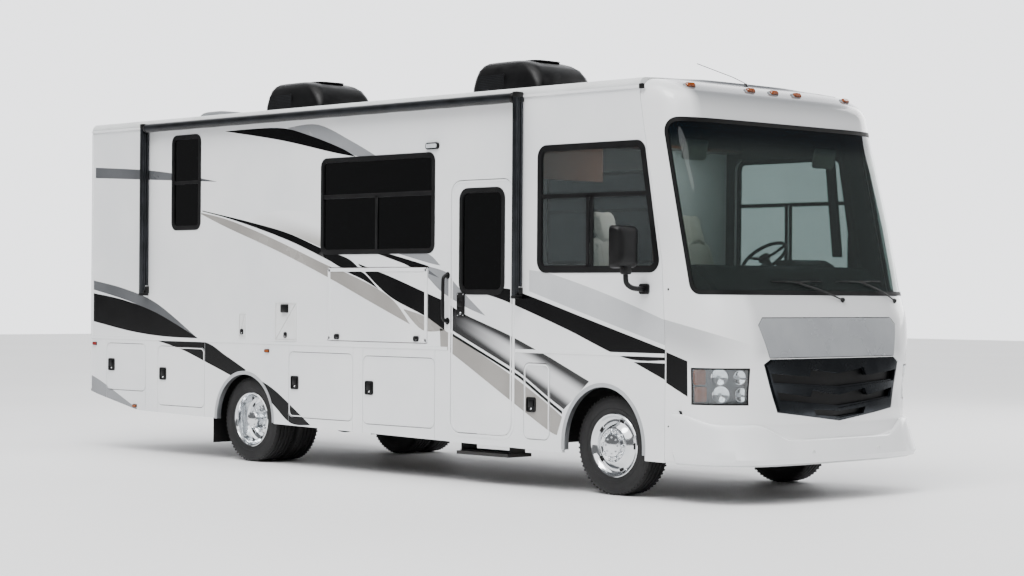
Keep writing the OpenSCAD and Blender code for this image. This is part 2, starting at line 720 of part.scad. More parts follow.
ac_w = 720;
ac_places = [coach_x - 515, coach_x + 2600];
module ac_unit(x) {
    z = roof_top - 10;
    l = ac_len / 2;
    outline = [[-l, 0], [-l, 0.4 * ac_h], [-l + 0.07 * ac_len, 0.94 * ac_h], [-l + 0.13 * ac_len, ac_h],
        [l - 0.36 * ac_len, ac_h], [l - 0.09 * ac_len, 0.82 * ac_h], [l, 0.45 * ac_h], [l, 0]];
    translate([x, ac_w / 2, z]) rotate([90, 0, 0]) linear_extrude(ac_w) polygon(outline);
}
module air_conditioners() color("#1f2022") difference() {
    for (x = ac_places) ac_unit(x);
    roof_slab();
}

vent_places = [[coach_x - 1450, -500], [coach_x - 2150, 300]];
vent_half = 220;
vent_h = 120;
module roof_vents() color("#b9bcbe") difference() {
    for (p = vent_places)
        block(p[0] - vent_half, p[0] + vent_half, p[1] - vent_half, p[1] + vent_half, roof_top - 10,
            roof_top + vent_h);
    roof_slab();
}

ladder_y = 560;
ladder_w = 380;
ladder_low = 760;
rung_step = 300;
module rear_ladder() color("#c5c8ca") {
    r = 13;
    x = rear_x - ladder_reach + r;
    high = roof_top - 92;
    for (y = [ladder_y - ladder_w / 2, ladder_y + ladder_w / 2]) {
        translate([x, y, ladder_low]) cylinder(h = high - ladder_low, r = r);
        for (z = [ladder_low + 40, (ladder_low + high) / 2, high - 100])
            translate([x, y, z]) rotate([0, 90, 0]) cylinder(h = ladder_reach - r, r = 9);
    }
    for (z = [ladder_low + 140:rung_step:high - 100])
        translate([x, ladder_y - ladder_w / 2, z]) rotate([-90, 0, 0]) cylinder(h = ladder_w, r = 11);
}

// ---- moving panels ----
module entry_door() color("#eef0f1") side_panel(-1, half_w, wall_t) difference() {
    rounded_box(door_box);
    rounded_box(door_window);
}
module entry_door_glass() color("#141617") glass_pane(-1, half_w - 8) rounded_box(door_window);
module bay_door(s, b) color("#f0f1f2") side_panel(s, half_w, skirt_t) rounded_box(b);
module galley_door() color("#f0f1f2") side_panel(-1, half_w, wall_t) rounded_box(galley_door_box);

room_wall = 40;
flange = 45;
module slide_out_room() color("#eef0f1") {
    b = slide_box;
    room_in = half_w - slide_travel - 60;
    difference() {
        block(b[0], b[1], room_in, half_w + 25, b[2], b[3]);
        block(b[0] + room_wall, b[1] - room_wall, room_in - 1, half_w + 25 - room_wall, b[2] + room_wall,
            b[3] - room_wall);
        side_panel(1, half_w + 30, 200) rounded_box(slide_window);
    }
    side_panel(1, half_w + 25, 18) difference() {
        rounded_box(b, flange);
        rounded_box([b[0] + 1, b[1] - 1, b[2] + 1, b[3] - 1, 1]);
    }
}
module slide_out_glass() color("#1a1c1e") glass_pane(1, half_w + 17) rounded_box(slide_window);

chassis_frame();
engine_block();
radiator();
fuel_tank();
exhaust_system();
leaf_springs();
front_axle();
rear_axle();
rear_bumper();
wheelhouses();
floor_board();  // floor
stepwell();
outside_step();
side_wall_right();
side_wall_left();
rear_wall();
roof();
skirt_right();
skirt_left();
luggage_bays();
front_cap();
windshield();
side_windows();
headlights();
grille();
dashboard();
cab_seats();
furniture();
door_mirrors();
awning_roller();
awning_arms();
air_conditioners();
roof_vents();
rear_ladder();
entry_door();
entry_door_glass();
bay_door(-1, bay_right[0]);  // bay_door_right_1
bay_door(-1, bay_right[1]);  // bay_door_right_2
bay_door(-1, bay_right[2]);  // bay_door_right_3
bay_door(-1, bay_right[3]);  // bay_door_right_4
galley_door();
bay_door(-1, utility_box);  // utility_door
bay_door(1, bay_left[0]);  // bay_door_left_1
bay_door(1, bay_left[1]);  // bay_door_left_2
bay_door(1, bay_left[2]);  // bay_door_left_3
hood();
slide_out_room();
slide_out_glass();
steering_wheel();
knuckle(-1);  // knuckle_right
knuckle(1);  // knuckle_left
translate([front_axle_x, 0, 0]) tyre(-front_track_half);  // front_tyre_right
front_rim(-1);  // front_rim_right
translate([front_axle_x, 0, 0]) tyre(front_track_half);  // front_tyre_left
front_rim(1);  // front_rim_left
translate([rear_axle_x, 0, 0]) {  // rear_tyres_right
    tyre(-rear_outer_half);
    tyre(-rear_outer_half + dual_spacing);
}
rear_rims(-1);  // rear_rims_right
translate([rear_axle_x, 0, 0]) {  // rear_tyres_left
    tyre(rear_outer_half);
    tyre(rear_outer_half - dual_spacing);
}
rear_rims(1);  // rear_rims_left
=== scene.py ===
import math
from math import cos, pi, radians, sin
import bmesh
import bpy
import json
import numpy as np
from mathutils import Matrix, Vector
from mathutils.bvhtree import BVHTree
from mathutils.interpolate import poly_3d_calc

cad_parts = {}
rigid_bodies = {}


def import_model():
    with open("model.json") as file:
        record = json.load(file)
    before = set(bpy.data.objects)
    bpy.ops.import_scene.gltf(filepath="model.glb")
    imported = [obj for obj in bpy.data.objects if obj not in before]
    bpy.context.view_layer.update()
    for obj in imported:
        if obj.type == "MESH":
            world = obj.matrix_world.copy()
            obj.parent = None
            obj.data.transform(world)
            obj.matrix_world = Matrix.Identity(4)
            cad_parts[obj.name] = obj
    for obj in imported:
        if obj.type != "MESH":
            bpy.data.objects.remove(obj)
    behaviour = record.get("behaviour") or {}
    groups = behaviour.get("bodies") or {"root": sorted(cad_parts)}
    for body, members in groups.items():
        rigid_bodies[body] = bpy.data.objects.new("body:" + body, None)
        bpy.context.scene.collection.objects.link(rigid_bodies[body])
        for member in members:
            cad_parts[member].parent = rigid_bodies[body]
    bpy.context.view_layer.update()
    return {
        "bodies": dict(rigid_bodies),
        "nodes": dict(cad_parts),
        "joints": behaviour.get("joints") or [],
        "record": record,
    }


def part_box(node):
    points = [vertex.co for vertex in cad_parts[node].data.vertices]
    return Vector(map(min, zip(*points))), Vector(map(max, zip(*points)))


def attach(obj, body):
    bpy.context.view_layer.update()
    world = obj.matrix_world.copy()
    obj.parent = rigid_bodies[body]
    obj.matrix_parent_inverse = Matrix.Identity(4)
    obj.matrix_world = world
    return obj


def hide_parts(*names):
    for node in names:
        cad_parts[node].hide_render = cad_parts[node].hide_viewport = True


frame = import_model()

scene = bpy.context.scene
nodes = frame["nodes"]


def mid(node):
    low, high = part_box(node)
    return (low + high) / 2


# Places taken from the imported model, in metres
halfW = -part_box("side_wall_right")[0].y
axleBack = 0.055
frontX = mid("front_tyre_right").x + axleBack
rearX = mid("rear_tyres_right").x + axleBack
hubZ = mid("front_tyre_right").z
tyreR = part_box("front_tyre_right")[1].z - hubZ
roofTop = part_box("awning_roller")[1].z + 0.049
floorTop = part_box("floor")[1].z
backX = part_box("rear_wall")[0].x
doorLow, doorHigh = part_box("entry_door")
slideLow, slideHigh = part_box("slide_out_room")


def objectFrom(mesh, name):
    made = bpy.data.objects.new(name, mesh)
    scene.collection.objects.link(made)
    return made


def meshFrom(bm, name, merge=1e-5, outward=True):
    if merge:
        bmesh.ops.remove_doubles(bm, verts=bm.verts, dist=merge)
    bmesh.ops.dissolve_degenerate(bm, edges=bm.edges, dist=1e-6)
    if outward:
        bmesh.ops.recalc_face_normals(bm, faces=bm.faces)
    mesh = bpy.data.meshes.new(name)
    bm.to_mesh(mesh)
    bm.free()
    return mesh


def finishPiece(shape, name, body, material, angle=32, merge=1e-5):
    mesh = meshFrom(shape, name, merge) if isinstance(shape, bmesh.types.BMesh) else shape
    mesh.name = name
    mesh.materials.clear()
    mesh.materials.append(material)
    mesh.polygons.foreach_set("use_smooth", [True] * len(mesh.polygons))
    mesh.set_sharp_from_angle(angle=radians(angle))
    made = objectFrom(mesh, name)
    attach(made, body)
    return made


def addBox(bm, x, y, z, bevel=0.0, segments=2, turn=None):
    verts = bmesh.ops.create_cube(bm, size=1)["verts"]
    for v in verts:
        v.co = Vector([side[0] + (c + 0.5) * (side[1] - side[0]) for side, c in zip((x, y, z), v.co)])
    if bevel:
        edges = list({e for v in verts for e in v.link_edges})
        made = bmesh.ops.bevel(bm, geom=edges, offset=bevel, segments=segments, profile=0.5, affect="EDGES")
        verts = made["verts"]
    if turn:
        bmesh.ops.transform(bm, matrix=turn, verts=verts)
    return verts


def placed(plane, u, w, t):
    return {"xz": (u, t, w), "yz": (t, u, w), "xy": (u, w, t)}[plane]


def addPrism(bm, outline, plane, low, high):
    rings = [[bm.verts.new(placed(plane, u, w, t)) for u, w in outline] for t in (low, high)]
    n = len(outline)
    bm.faces.new(rings[0][::-1])
    bm.faces.new(rings[1])
    for i in range(n):
        j = (i + 1) % n
        bm.faces.new((rings[0][i], rings[0][j], rings[1][j], rings[1][i]))
    return rings[0] + rings[1]


def addFrame(bm, outer, inner, plane, low, high):
    rings = [[bm.verts.new(placed(plane, u, w, t)) for u, w in line] for t in (low, high) for line in (outer,
        inner)]
    n = len(outer)
    for i in range(n):
        j = (i + 1) % n
        for a, b in ((0, 1), (1, 3), (3, 2), (2, 0)):
            bm.faces.new((rings[a][i], rings[a][j], rings[b][j], rings[b][i]))


def addTube(bm, points, radius, sides=12, closed=False):
    points = [Vector(p) for p in points]
    n = len(points)
    rings, normal = [], None
    for i, p in enumerate(points):
        before = points[(i - 1) % n] if closed or i else p
        after = points[(i + 1) % n] if closed or i < n - 1 else p
        along = (after - before).normalized()
        if normal is None:
            normal = along.orthogonal().normalized()
        normal = (normal - along * normal.dot(along)).normalized()
        other = along.cross(normal)
        r = radius[i] if isinstance(radius, (list, tuple)) else radius
        rings.append([bm.verts.new(p + r * (cos(a) * normal + sin(a) * other)) for a in [2 * pi
            * k / sides for k in range(sides)]])
    for i in range(n if closed else n - 1):
        a, b = rings[i], rings[(i + 1) % n]
        for k in range(sides):
            m = (k + 1) % sides
            bm.faces.new((a[k], a[m], b[m], b[k]))
    if not closed:
        bm.faces.new(rings[0][::-1])
        bm.faces.new(rings[-1])


# profile is (radius, distance along the axis)
def addLathe(bm, profile, centre, axis, segments=64, closed=False):
    axis = Vector(axis)
    side = axis.orthogonal().normalized()
    other = axis.cross(side)
    rings = []
    for r, t in profile:
        if r < 1e-6:
            rings.append([bm.verts.new(Vector(centre) + axis * t)])
            continue
        rings.append([bm.verts.new(Vector(centre) + axis * t + r * (cos(a) * side + sin(a)
            * other)) for a in [2 * pi * k / segments for k in range(segments)]])
    pairs = list(zip(rings, rings[1:])) + ([(rings[-1], rings[0])] if closed else [])
    for a, b in pairs:
        for k in range(segments):
            m = (k + 1) % segments
            corners = [a[k % len(a)], a[m % len(a)], b[m % len(b)], b[k % len(b)]]
            corners = [c for i, c in enumerate(corners) if c not in corners[:i]]
            if len(corners) > 2:
                bm.faces.new(corners)


def roundedBox(x0, x1, z0, z1, radius, grow=0.0, steps=7):
    r = radius + grow
    corners = ((x1 + grow - r, z1 + grow - r, 0), (x0 - grow + r, z1 + grow - r, 90),
        (x0 - grow + r, z0 - grow + r, 180), (x1 + grow - r, z0 - grow + r, 270))
    return [(u + r * cos(radians(start + 90 * k / (steps - 1))),
        w + r * sin(radians(start + 90 * k / (steps - 1)))) for u, w, start in corners for k in range(steps)]


# the listed points joined by a smooth line that passes through them
def smoothLine(points, steps=6):
    if len(points) < 3:
        return list(points)
    p = [points[0], *points, points[-1]]
    line = []
    for i in range(1, len(p) - 2):
        for k in range(steps):
            t = k / steps
            line.append(tuple(0.5 * (2 * b + (c - a) * t + (2 * a - 5 * b + 4 * c - d) * t * t
                + (3 * b - a - 3 * c + d) * t ** 3) for a, b, c, d in zip(p[i - 1], p[i], p[i + 1],
                p[i + 2])))
    return line + [points[-1]]


# a copy of a CAD mesh with its loose triangles merged
def joinedCopy(node):
    bm = bmesh.new()
    bm.from_mesh(nodes[node].data)
    bmesh.ops.remove_doubles(bm, verts=bm.verts, dist=1e-5)
    mesh = bpy.data.meshes.new("copy")
    bm.to_mesh(mesh)
    bm.free()
    return mesh


# mesh after exact booleans with each tool mesh
def cut(mesh, tools, operation="DIFFERENCE"):
    work = objectFrom(mesh, "work")
    others = [objectFrom(tool, "tool") for tool in tools]
    for other in others:
        step = work.modifiers.new("cut", "BOOLEAN")
        step.operation, step.solver, step.object = operation, "EXACT", other
    made = bpy.data.meshes.new_from_object(work.evaluated_get(bpy.context.evaluated_depsgraph_get()))
    for o in [work, *others]:
        bpy.data.objects.remove(o)
    return made


def prismMesh(outline, plane, low, high):
    bm = bmesh.new()
    addPrism(bm, outline, plane, low, high)
    return meshFrom(bm, "prism")


# an sRGB hex value as linear RGBA
def hexColour(text):
    parts = [int(text[i:i + 2], 16) / 255 for i in (1, 3, 5)]
    return (*[c / 12.92 if c <= 0.04045 else ((c + 0.055) / 1.055) ** 2.4 for c in parts], 1.0)


def addNode(tree, kind, inputs=None, **settings):
    node = tree.nodes.new(kind)
    for key, value in settings.items():
        setattr(node, key, value)
    for key, value in (inputs or {}).items():
        if isinstance(value, bpy.types.NodeSocket):
            tree.links.new(value, node.inputs[key])
        else:
            node.inputs[key].default_value = value
    return node


# a Principled material, its node tree, shader and Object coordinates
def newMaterial(name, colour, rough, **sockets):
    made = bpy.data.materials.new(name)
    made.use_nodes = True
    tree = made.node_tree
    shader = tree.nodes["Principled BSDF"]
    shader.inputs["Base Color"].default_value = hexColour(colour)
    shader.inputs["Roughness"].default_value = rough
    for key, value in sockets.items():
        shader.inputs[key.replace("_", " ")].default_value = value
    where = addNode(tree, "ShaderNodeTexCoord").outputs["Object"]
    return made, tree, shader, where


# two tones of the base colour, and a little change of gloss, in soft patches
def patchy(tree, shader, where, colours, scale, rough=None, detail=4, contrast=(0.35, 0.65)):
    noise = addNode(tree, "ShaderNodeTexNoise", {"Vector": where, "Scale": scale, "Detail": detail})
    ramp = addNode(tree, "ShaderNodeMapRange", {"Value": noise.outputs["Fac"], "From Min": contrast[0],
        "From Max": contrast[1]})
    blend = addNode(tree, "ShaderNodeMixRGB", {"Fac": ramp.outputs["Result"], "Color1": hexColour(colours[0]),
        "Color2": hexColour(colours[1])})
    tree.links.new(blend.outputs["Color"], shader.inputs["Base Color"])
    if rough:
        gloss = addNode(tree, "ShaderNodeMapRange", {"Value": noise.outputs["Fac"], "From Min": contrast[0],
            "From Max": contrast[1], "To Min": rough[0], "To Max": rough[1]})
        tree.links.new(gloss.outputs["Result"], shader.inputs["Roughness"])
    return blend


# a fine bump whose grain is the given size
def grained(tree, shader, where, millimetres, strength, depth=0.0004, kind="ShaderNodeTexNoise"):
    settings = {"Vector": where, "Scale": 1000 / millimetres}
    grain = addNode(tree, kind, settings)
    height = grain.outputs["Fac"] if kind == "ShaderNodeTexNoise" else grain.outputs["Distance"]
    bump = addNode(tree, "ShaderNodeBump", {"Height": height, "Strength": strength, "Distance": depth})
    tree.links.new(bump.outputs["Normal"], shader.inputs["Normal"])
    return bump


# a finish from two tones, a range of roughness, a patch size and a grain size in mm
def simpleFinish(name, colours, rough, patch, grain, **sockets):
    made, tree, shader, where = newMaterial(name, colours[0], rough[0], **sockets)
    patchy(tree, shader, where, colours, 1000 / patch, rough)
    grained(tree, shader, where, *grain)
    return made


# Gelcoat and vinyl: sprayed or laid smooth, so long soft reflections with a faint orange peel
gelcoatWhite = simpleFinish("gelcoatWhite", ("#f3f4f5", "#eaecee"), (0.16, 0.24), 900, (5, 0.05), IOR=1.5,
    Coat_Weight=0.5, Coat_Roughness=0.05)
vinylBlack = simpleFinish("vinylBlackGloss", ("#030304", "#050506"), (0.16, 0.22), 500, (5, 0.03), IOR=1.5,
    Specular_IOR_Level=0.2)
vinylDarkGrey = simpleFinish("vinylDarkGreyGloss", ("#4e5053", "#5b5d60"), (0.2, 0.28), 600, (4, 0.03),
    IOR=1.5)
vinylTaupe = simpleFinish("vinylTaupeGloss", ("#8d8a86", "#9a9793"), (0.2, 0.28), 600, (4, 0.03), IOR=1.5)
vinylLightGrey = simpleFinish("vinylLightGreyGloss", ("#b9bbbe", "#c6c8ca"), (0.2, 0.28), 600, (4, 0.03),
    IOR=1.5)
# Fibreglass roof: matt, a little chalky
fibreglassRoof = simpleFinish("fibreglassRoofMatt", ("#dfe1e2", "#d2d4d4"), (0.5, 0.65), 350, (3, 0.2),
    IOR=1.5)
# Moulded ABS: fine leather-like texture that breaks up the highlight
absBlack = simpleFinish("absBlackTextured", ("#070708", "#0c0c0d"), (0.34, 0.46), 120, (1.6, 0.2), IOR=1.5,
    Specular_IOR_Level=0.25)
absGrey = simpleFinish("absGreyTextured", ("#6f7275", "#7b7e80"), (0.42, 0.55), 120, (1.6, 0.3), IOR=1.5)
absWhite = simpleFinish("absWhiteSatin", ("#e7e8e8", "#dcdddd"), (0.32, 0.42), 200, (2, 0.12), IOR=1.5)
# EPDM rubber seal: dull black
rubberSeal = simpleFinish("rubberSealDull", ("#050506", "#090909"), (0.5, 0.62), 90, (2, 0.2), IOR=1.5,
    Specular_IOR_Level=0.25)
# Natural rubber tyre: dark with dusty patches in the sidewall
tyreRubber = simpleFinish("tyreRubberSidewall", ("#101011", "#191819"), (0.6, 0.78), 160, (2.5, 0.35),
    IOR=1.5)
# Anodised aluminium: soft metal sheen
aluminiumSatin = simpleFinish("aluminiumSatinAnodised", ("#b4b7ba", "#c3c5c7"), (0.3, 0.4), 150, (2, 0.08),
    Metallic=1.0)
aluminiumDark = simpleFinish("aluminiumDarkAnodised", ("#2a2c2e", "#34363a"), (0.36, 0.46), 150, (2, 0.08),
    Metallic=0.9)
# Chromed steel: near mirror, a few haze patches
chrome = simpleFinish("chromedSteelPolished", ("#e4e6e8", "#d3d6d9"), (0.06, 0.14), 140, (12, 0.05),
    Metallic=1.0)
# Undercoated steel: waxy black with rough grain and dust
steelUndercoat = simpleFinish("steelUndercoated", ("#1b1b1c", "#2b2926"), (0.55, 0.75), 180, (6, 0.5),
    IOR=1.5)
# Cast iron: brown-grey, coarse
castIron = simpleFinish("castIronRough", ("#2c2a29", "#3d3732"), (0.6, 0.8), 90, (4, 0.6), Metallic=0.4)
aluminisedSteel = simpleFinish("aluminisedSteelHeatStained", ("#8b8378", "#6a6258"), (0.4, 0.6), 120,
    (5, 0.2), Metallic=0.9)
# Vinyl and leather of the cab: soft, with a pebbled grain
leatherWhite = simpleFinish("leatherPaleStitched", ("#dcd7cd", "#cfc9bd"), (0.42, 0.55), 200,
    (7, 0.45, 0.0007, "ShaderNodeTexVoronoi"), IOR=1.5)
dashVinyl = simpleFinish("dashVinylSoftGrained", ("#0e0e0f", "#151516"), (0.5, 0.62), 200,
    (4, 0.4, 0.0004, "ShaderNodeTexVoronoi"), IOR=1.5)
beigeVinyl = simpleFinish("visorVinylPale", ("#cfcac0", "#c4beb2"), (0.5, 0.62), 200,
    (4, 0.3, 0.0004, "ShaderNodeTexVoronoi"), IOR=1.5)
mattressFabric = simpleFinish("mattressQuiltedCotton", ("#e3dfd6", "#d6d1c6"), (0.8, 0.9), 150,
    (5, 0.6, 0.0006), Sheen_Weight=0.3)
carpet = simpleFinish("carpetLoopPile", ("#6b5f52", "#7a6d5e"), (0.9, 0.97), 60, (4, 0.9, 0.0012),
    Sheen_Weight=0.2)


# float glass: clear body with a tint, mirror-smooth, so it shows what is behind it and the lights
def glassFinish(name, tint, transmission, rough=0.02):
    made, tree, shader, where = newMaterial(name, tint, rough, IOR=1.45, Transmission_Weight=transmission)
    grained(tree, shader, where, 300, 0.02)
    return made


# laminated windshield: faint green, with a blue shade band along its top edge
def bandedGlass():
    made, tree, shader, where = newMaterial("laminatedGlassShadeBand", "#7f8c89", 0.02, IOR=1.45,
        Transmission_Weight=0.95)
    height = addNode(tree, "ShaderNodeSeparateXYZ", {"Vector": where}).outputs["Z"]
    band = addNode(tree, "ShaderNodeMapRange", {"Value": height, "From Min": roofTop - 0.62,
        "From Max": roofTop - 0.44}, interpolation_type="SMOOTHSTEP")
    tint = addNode(tree, "ShaderNodeMixRGB", {"Fac": band.outputs["Result"], "Color1": hexColour("#7f8c89"),
        "Color2": hexColour("#12303f")})
    tree.links.new(tint.outputs["Color"], shader.inputs["Base Color"])
    return made


windshieldGlass = bandedGlass()


# moulded acrylic lens: coloured, glossy, with fine vertical flutes
def lensFinish(name, colours, ribMm=9.0):
    made, tree, shader, where = newMaterial(name, colours[0], 0.12, IOR=1.49, Transmission_Weight=0.25)
    patchy(tree, shader, where, colours, 1000 / 25)
    flutes = addNode(tree, "ShaderNodeTexWave", {"Vector": where, "Scale": 1000 / (ribMm * 20),
        "Distortion": 0.0}, bands_direction="DIAGONAL")
    bump = addNode(tree, "ShaderNodeBump", {"Height": flutes.outputs["Fac"], "Strength": 0.35,
        "Distance": 0.001})
    tree.links.new(bump.outputs["Normal"], shader.inputs["Normal"])
    return made


amberLens = lensFinish("acrylicAmberLens", ("#9c4a08", "#7e3a05"))
redLens = lensFinish("acrylicRedLens", ("#a60d0d", "#7d0808"))
clearLens = lensFinish("acrylicClearLens", ("#e9edf0", "#d5dade"))


# varnished wood: long grain streaks between plank joints
def woodFinish(name, colours, plankMm, along):
    made, tree, shader, where = newMaterial(name, colours[0], 0.35, IOR=1.5, Coat_Weight=0.3)
    stretch = addNode(tree, "ShaderNodeMapping", {"Vector": where, "Scale": (1.2, 14,
        14) if along == "x" else (14, 14, 1.2)})
    noise = addNode(tree, "ShaderNodeTexNoise", {"Vector": stretch.outputs["Vector"], "Scale": 3.0,
        "Detail": 6})
    tone = addNode(tree, "ShaderNodeMixRGB", {"Fac": noise.outputs["Fac"], "Color1": hexColour(colours[0]),
        "Color2": hexColour(colours[1])})
    joints = addNode(tree, "ShaderNodeTexWave", {"Vector": where, "Scale": 1000 / (plankMm * 20)},
        bands_direction="Y" if along == "x" else "X", wave_profile="SAW")
    edge = addNode(tree, "ShaderNodeMapRange", {"Value": joints.outputs["Fac"], "From Min": 0.0,
        "From Max": 0.03})
    shaded = addNode(tree, "ShaderNodeMixRGB", {"Fac": edge.outputs["Result"], "Color1": hexColour("#1f1610"),
        "Color2": tone.outputs["Color"]})
    tree.links.new(shaded.outputs["Color"], shader.inputs["Base Color"])
    grained(tree, shader, stretch.outputs["Vector"], 60, 0.15)
    return made


cherryCabinet = woodFinish("cherryVarnished", ("#6a3f27", "#4a2816"), 600, "z")


# woven acrylic canvas, its threads drawn coarser than real so that they show
def canvasFinish(name, colours, threadMm=4.0):
    made, tree, shader, where = newMaterial(name, colours[0], 0.85, Sheen_Weight=0.25)
    patchy(tree, shader, where, colours, 1000 / 220)
    weave = addNode(tree, "ShaderNodeTexBrick", {"Vector": where, "Scale": 1000 / (threadMm * 4),
        "Mortar Size": 0.06})
    bump = addNode(tree, "ShaderNodeBump", {"Height": weave.outputs["Fac"], "Strength": 0.5,
        "Distance": 0.0006})
    tree.links.new(bump.outputs["Normal"], shader.inputs["Normal"])
    return made


awningCanvas = canvasFinish("canvasAcrylicWoven", ("#1b1c1e", "#26272a"))
print("materials made")

stageLook = {"floor": "#f4f4f4", "dark": 0.2, "bright": 2.7, "lobe": (0.45, 0.93), "keyPower": 4000,
    "fillPower": 900, "overheadPower": 3.2, "overheadAngle": 85}
view = {"place": (15.763, -14.553, 1.630), "yaw": 0.7654, "pitch": 0.0032, "roll": 0.0068, "lens": 79.38}


def addLight(light, place):
    lamp = bpy.data.objects.new(light.name, light)
    lamp.location = place
    lamp.rotation_euler = (Vector((0, 0, 1.2)) - Vector(place)).to_track_quat("-Z", "Y").to_euler()
    scene.collection.objects.link(lamp)


def makeStage():
    floor = bpy.data.meshes.new("floor_plane")
    size = 60.0
    floor.from_pydata([(-size, -size, 0), (size, -size, 0), (size, size, 0), (-size, size, 0)], [],
        [(0, 1, 2, 3)])
    plane = objectFrom(floor, "floor_plane")
    plain, tree, shader, where = newMaterial("studioFloorMatt", stageLook["floor"], 0.6, IOR=1.4)
    patchy(tree, shader, where, (stageLook["floor"], "#f7f7f7"), 0.2)
    floor.materials.append(plain)
    world = bpy.data.worlds.new("studio")
    scene.world = world
    world.use_nodes = True
    # a bright sweep behind the coach and a darker room in front of it, so that glass and black vinyl stay
    # deep
    tree = world.node_tree
    sky = tree.nodes["Background"]
    way = addNode(tree, "ShaderNodeTexCoord").outputs["Generated"]
    facing = addNode(tree, "ShaderNodeVectorMath", {0: way, 1: (-cos(view["yaw"]), sin(view["yaw"]), 0.0)},
        operation="DOT_PRODUCT").outputs["Value"]
    low, high = stageLook["lobe"]
    power = addNode(tree, "ShaderNodeMapRange", {"Value": facing, "From Min": low, "From Max": high,
        "To Min": stageLook["dark"], "To Max": stageLook["bright"]}, interpolation_type="SMOOTHSTEP")
    sky.inputs["Color"].default_value = hexColour("#fbfcff")
    tree.links.new(power.outputs["Result"], sky.inputs["Strength"])
    for name, power, place, size in (("key", stageLook["keyPower"], (6, -11, 20), 12),
            ("fill", stageLook["fillPower"], (3, 14, 7), 8)):
        light = bpy.data.lights.new(name, "AREA")
        light.energy, light.size = power, size
        addLight(light, place)
    light = bpy.data.lights.new("overhead", "SUN")
    light.energy, light.angle = stageLook["overheadPower"], radians(stageLook["overheadAngle"])
    addLight(light, (3, -5, 14))
    # a small ceiling light in the cab shows the seats through the windshield; the lamp itself is not seen
    light = bpy.data.lights.new("cab_ceiling", "AREA")
    light.energy, light.size = 16, 0.9
    addLight(light, (2.75, 0, 3.0))
    lamp = scene.objects["cab_ceiling"]
    lamp.visible_camera = lamp.visible_glossy = lamp.visible_transmission = False


def makeCamera():
    yaw, pitch, roll = view["yaw"], view["pitch"], view["roll"]
    ahead = Vector((-cos(yaw) * cos(pitch), sin(yaw) * cos(pitch), sin(pitch)))
    right = ahead.cross(Vector((0, 0, 1))).normalized()
    up = right.cross(ahead)
    right, up = right * cos(roll) + up * sin(roll), up * cos(roll) - right * sin(roll)
    lens = bpy.data.cameras.new("camera")
    lens.lens, lens.sensor_width = view["lens"], 36
    made = bpy.data.objects.new("camera", lens)
    made.matrix_world = Matrix((right, up, -ahead)).transposed().to_4x4()
    made.location = view["place"]
    scene.collection.objects.link(made)
    scene.camera = made


makeStage()
makeCamera()
print("stage and camera made")

# Height, nose ahead of the front axle, half-width loss, corner start, squareness of the corner
capLevels = ((0.30, 1.374, 0.020, 0.674, 3.6), (0.34, 1.424, 0, 0.674, 3.6), (0.48, 1.389, 0, 0.624, 3.5),
    (0.635, 1.361, 0, 0.624, 3.3), (0.80, 1.349, 0, 0.624, 3.3), (1.14, 1.317, 0, 0.624, 4.2),
    (1.463, 1.243, 0, 0.614, 5.5), (1.633, 1.170, 0, 0.594, 6.0), (1.95, 1.090, 0, 0.552, 6.0),
    (2.30, 1.004, 0, 0.504, 6.0), (2.692, 0.889, 0, 0.430, 6.0), (3.06, 0.782, 0, 0.354, 6.0),
    (3.20, 0.759, 0, 0.334, 5.5), (3.262, 0.724, 0.008, 0.318, 5.0), (3.30, 0.674, 0.022, 0.304, 4.5),
    (3.342, 0.589, 0.060, 0.298, 4.2), (3.376, 0.464, 0.112, 0.290, 3.8), (3.392, 0.364, 0.170, 0.280, 3.5),
    (3.418, 0.339, 0.560, 0.270, 3.0))
cap = {"thick": 0.024, "glass": 0.006, "back": 0.06, "columns": 112, "liftFrom": 3.06}
seamLine = ((0.619, 0.2), (0.619, 1.204), (0.578, 1.902), (0.328, 3.242), (0.328, 3.46))
glassSide = {"low": 1.645, "high": 3.055, "backLow": 0.858, "backHigh": 0.588, "radius": 0.11}
hoodFace = {"low": 1.152, "high": 1.463, "halfLow": 0.80, "halfHigh": 0.885, "corner": 0.06, "gap": 0.006}
grilleFace = ((-0.80, 1.14), (0.80, 1.14), (0.87, 1.10), (0.74, 0.72), (0, 0.635), (-0.74, 0.72),
    (-0.87, 1.10))
lampBox = {"low": 0.78, "high": 1.072, "inner": halfW - 0.29, "back": 0.882}


# each column of capLevels as a smooth function of the length along the profile
def levelCurves():
    table = np.array(capLevels)
    s = np.concatenate([[0], np.cumsum(np.hypot(np.diff(table[:, 0]), np.diff(table[:, 1])))])
    step = np.diff(s)
    slopes = np.diff(table, axis=0) / step[:, None]
    tangent = np.zeros_like(table)
    tangent[0], tangent[-1] = slopes[0], slopes[-1]
    for i in range(1, len(s) - 1):
        same = slopes[i - 1] * slopes[i] > 0
        w1, w2 = 2 * step[i] + step[i - 1], step[i] + 2 * step[i - 1]
        with np.errstate(divide="ignore", invalid="ignore"):
            tangent[i] = np.where(same, (w1 + w2) / (w1 / slopes[i - 1] + w2 / slopes[i]), 0)

    def at(q):
        i = int(np.clip(np.searchsorted(s, q) - 1, 0, len(step) - 1))
        h = step[i]
        t = (q - s[i]) / h
        return ((1 + 2 * t) * (1 - t) ** 2 * table[i] + t * (1 - t) ** 2 * h * tangent[i] + t * t
            * (3 - 2 * t) * table[i + 1] + t * t * (t - 1) * h * tangent[i + 1])

    return s[-1], at


capLength, capLevelAt = levelCurves()


def softStep(low, high, value):
    t = min(max((value - low) / (high - low), 0), 1)
    return t * t * (3 - 2 * t)


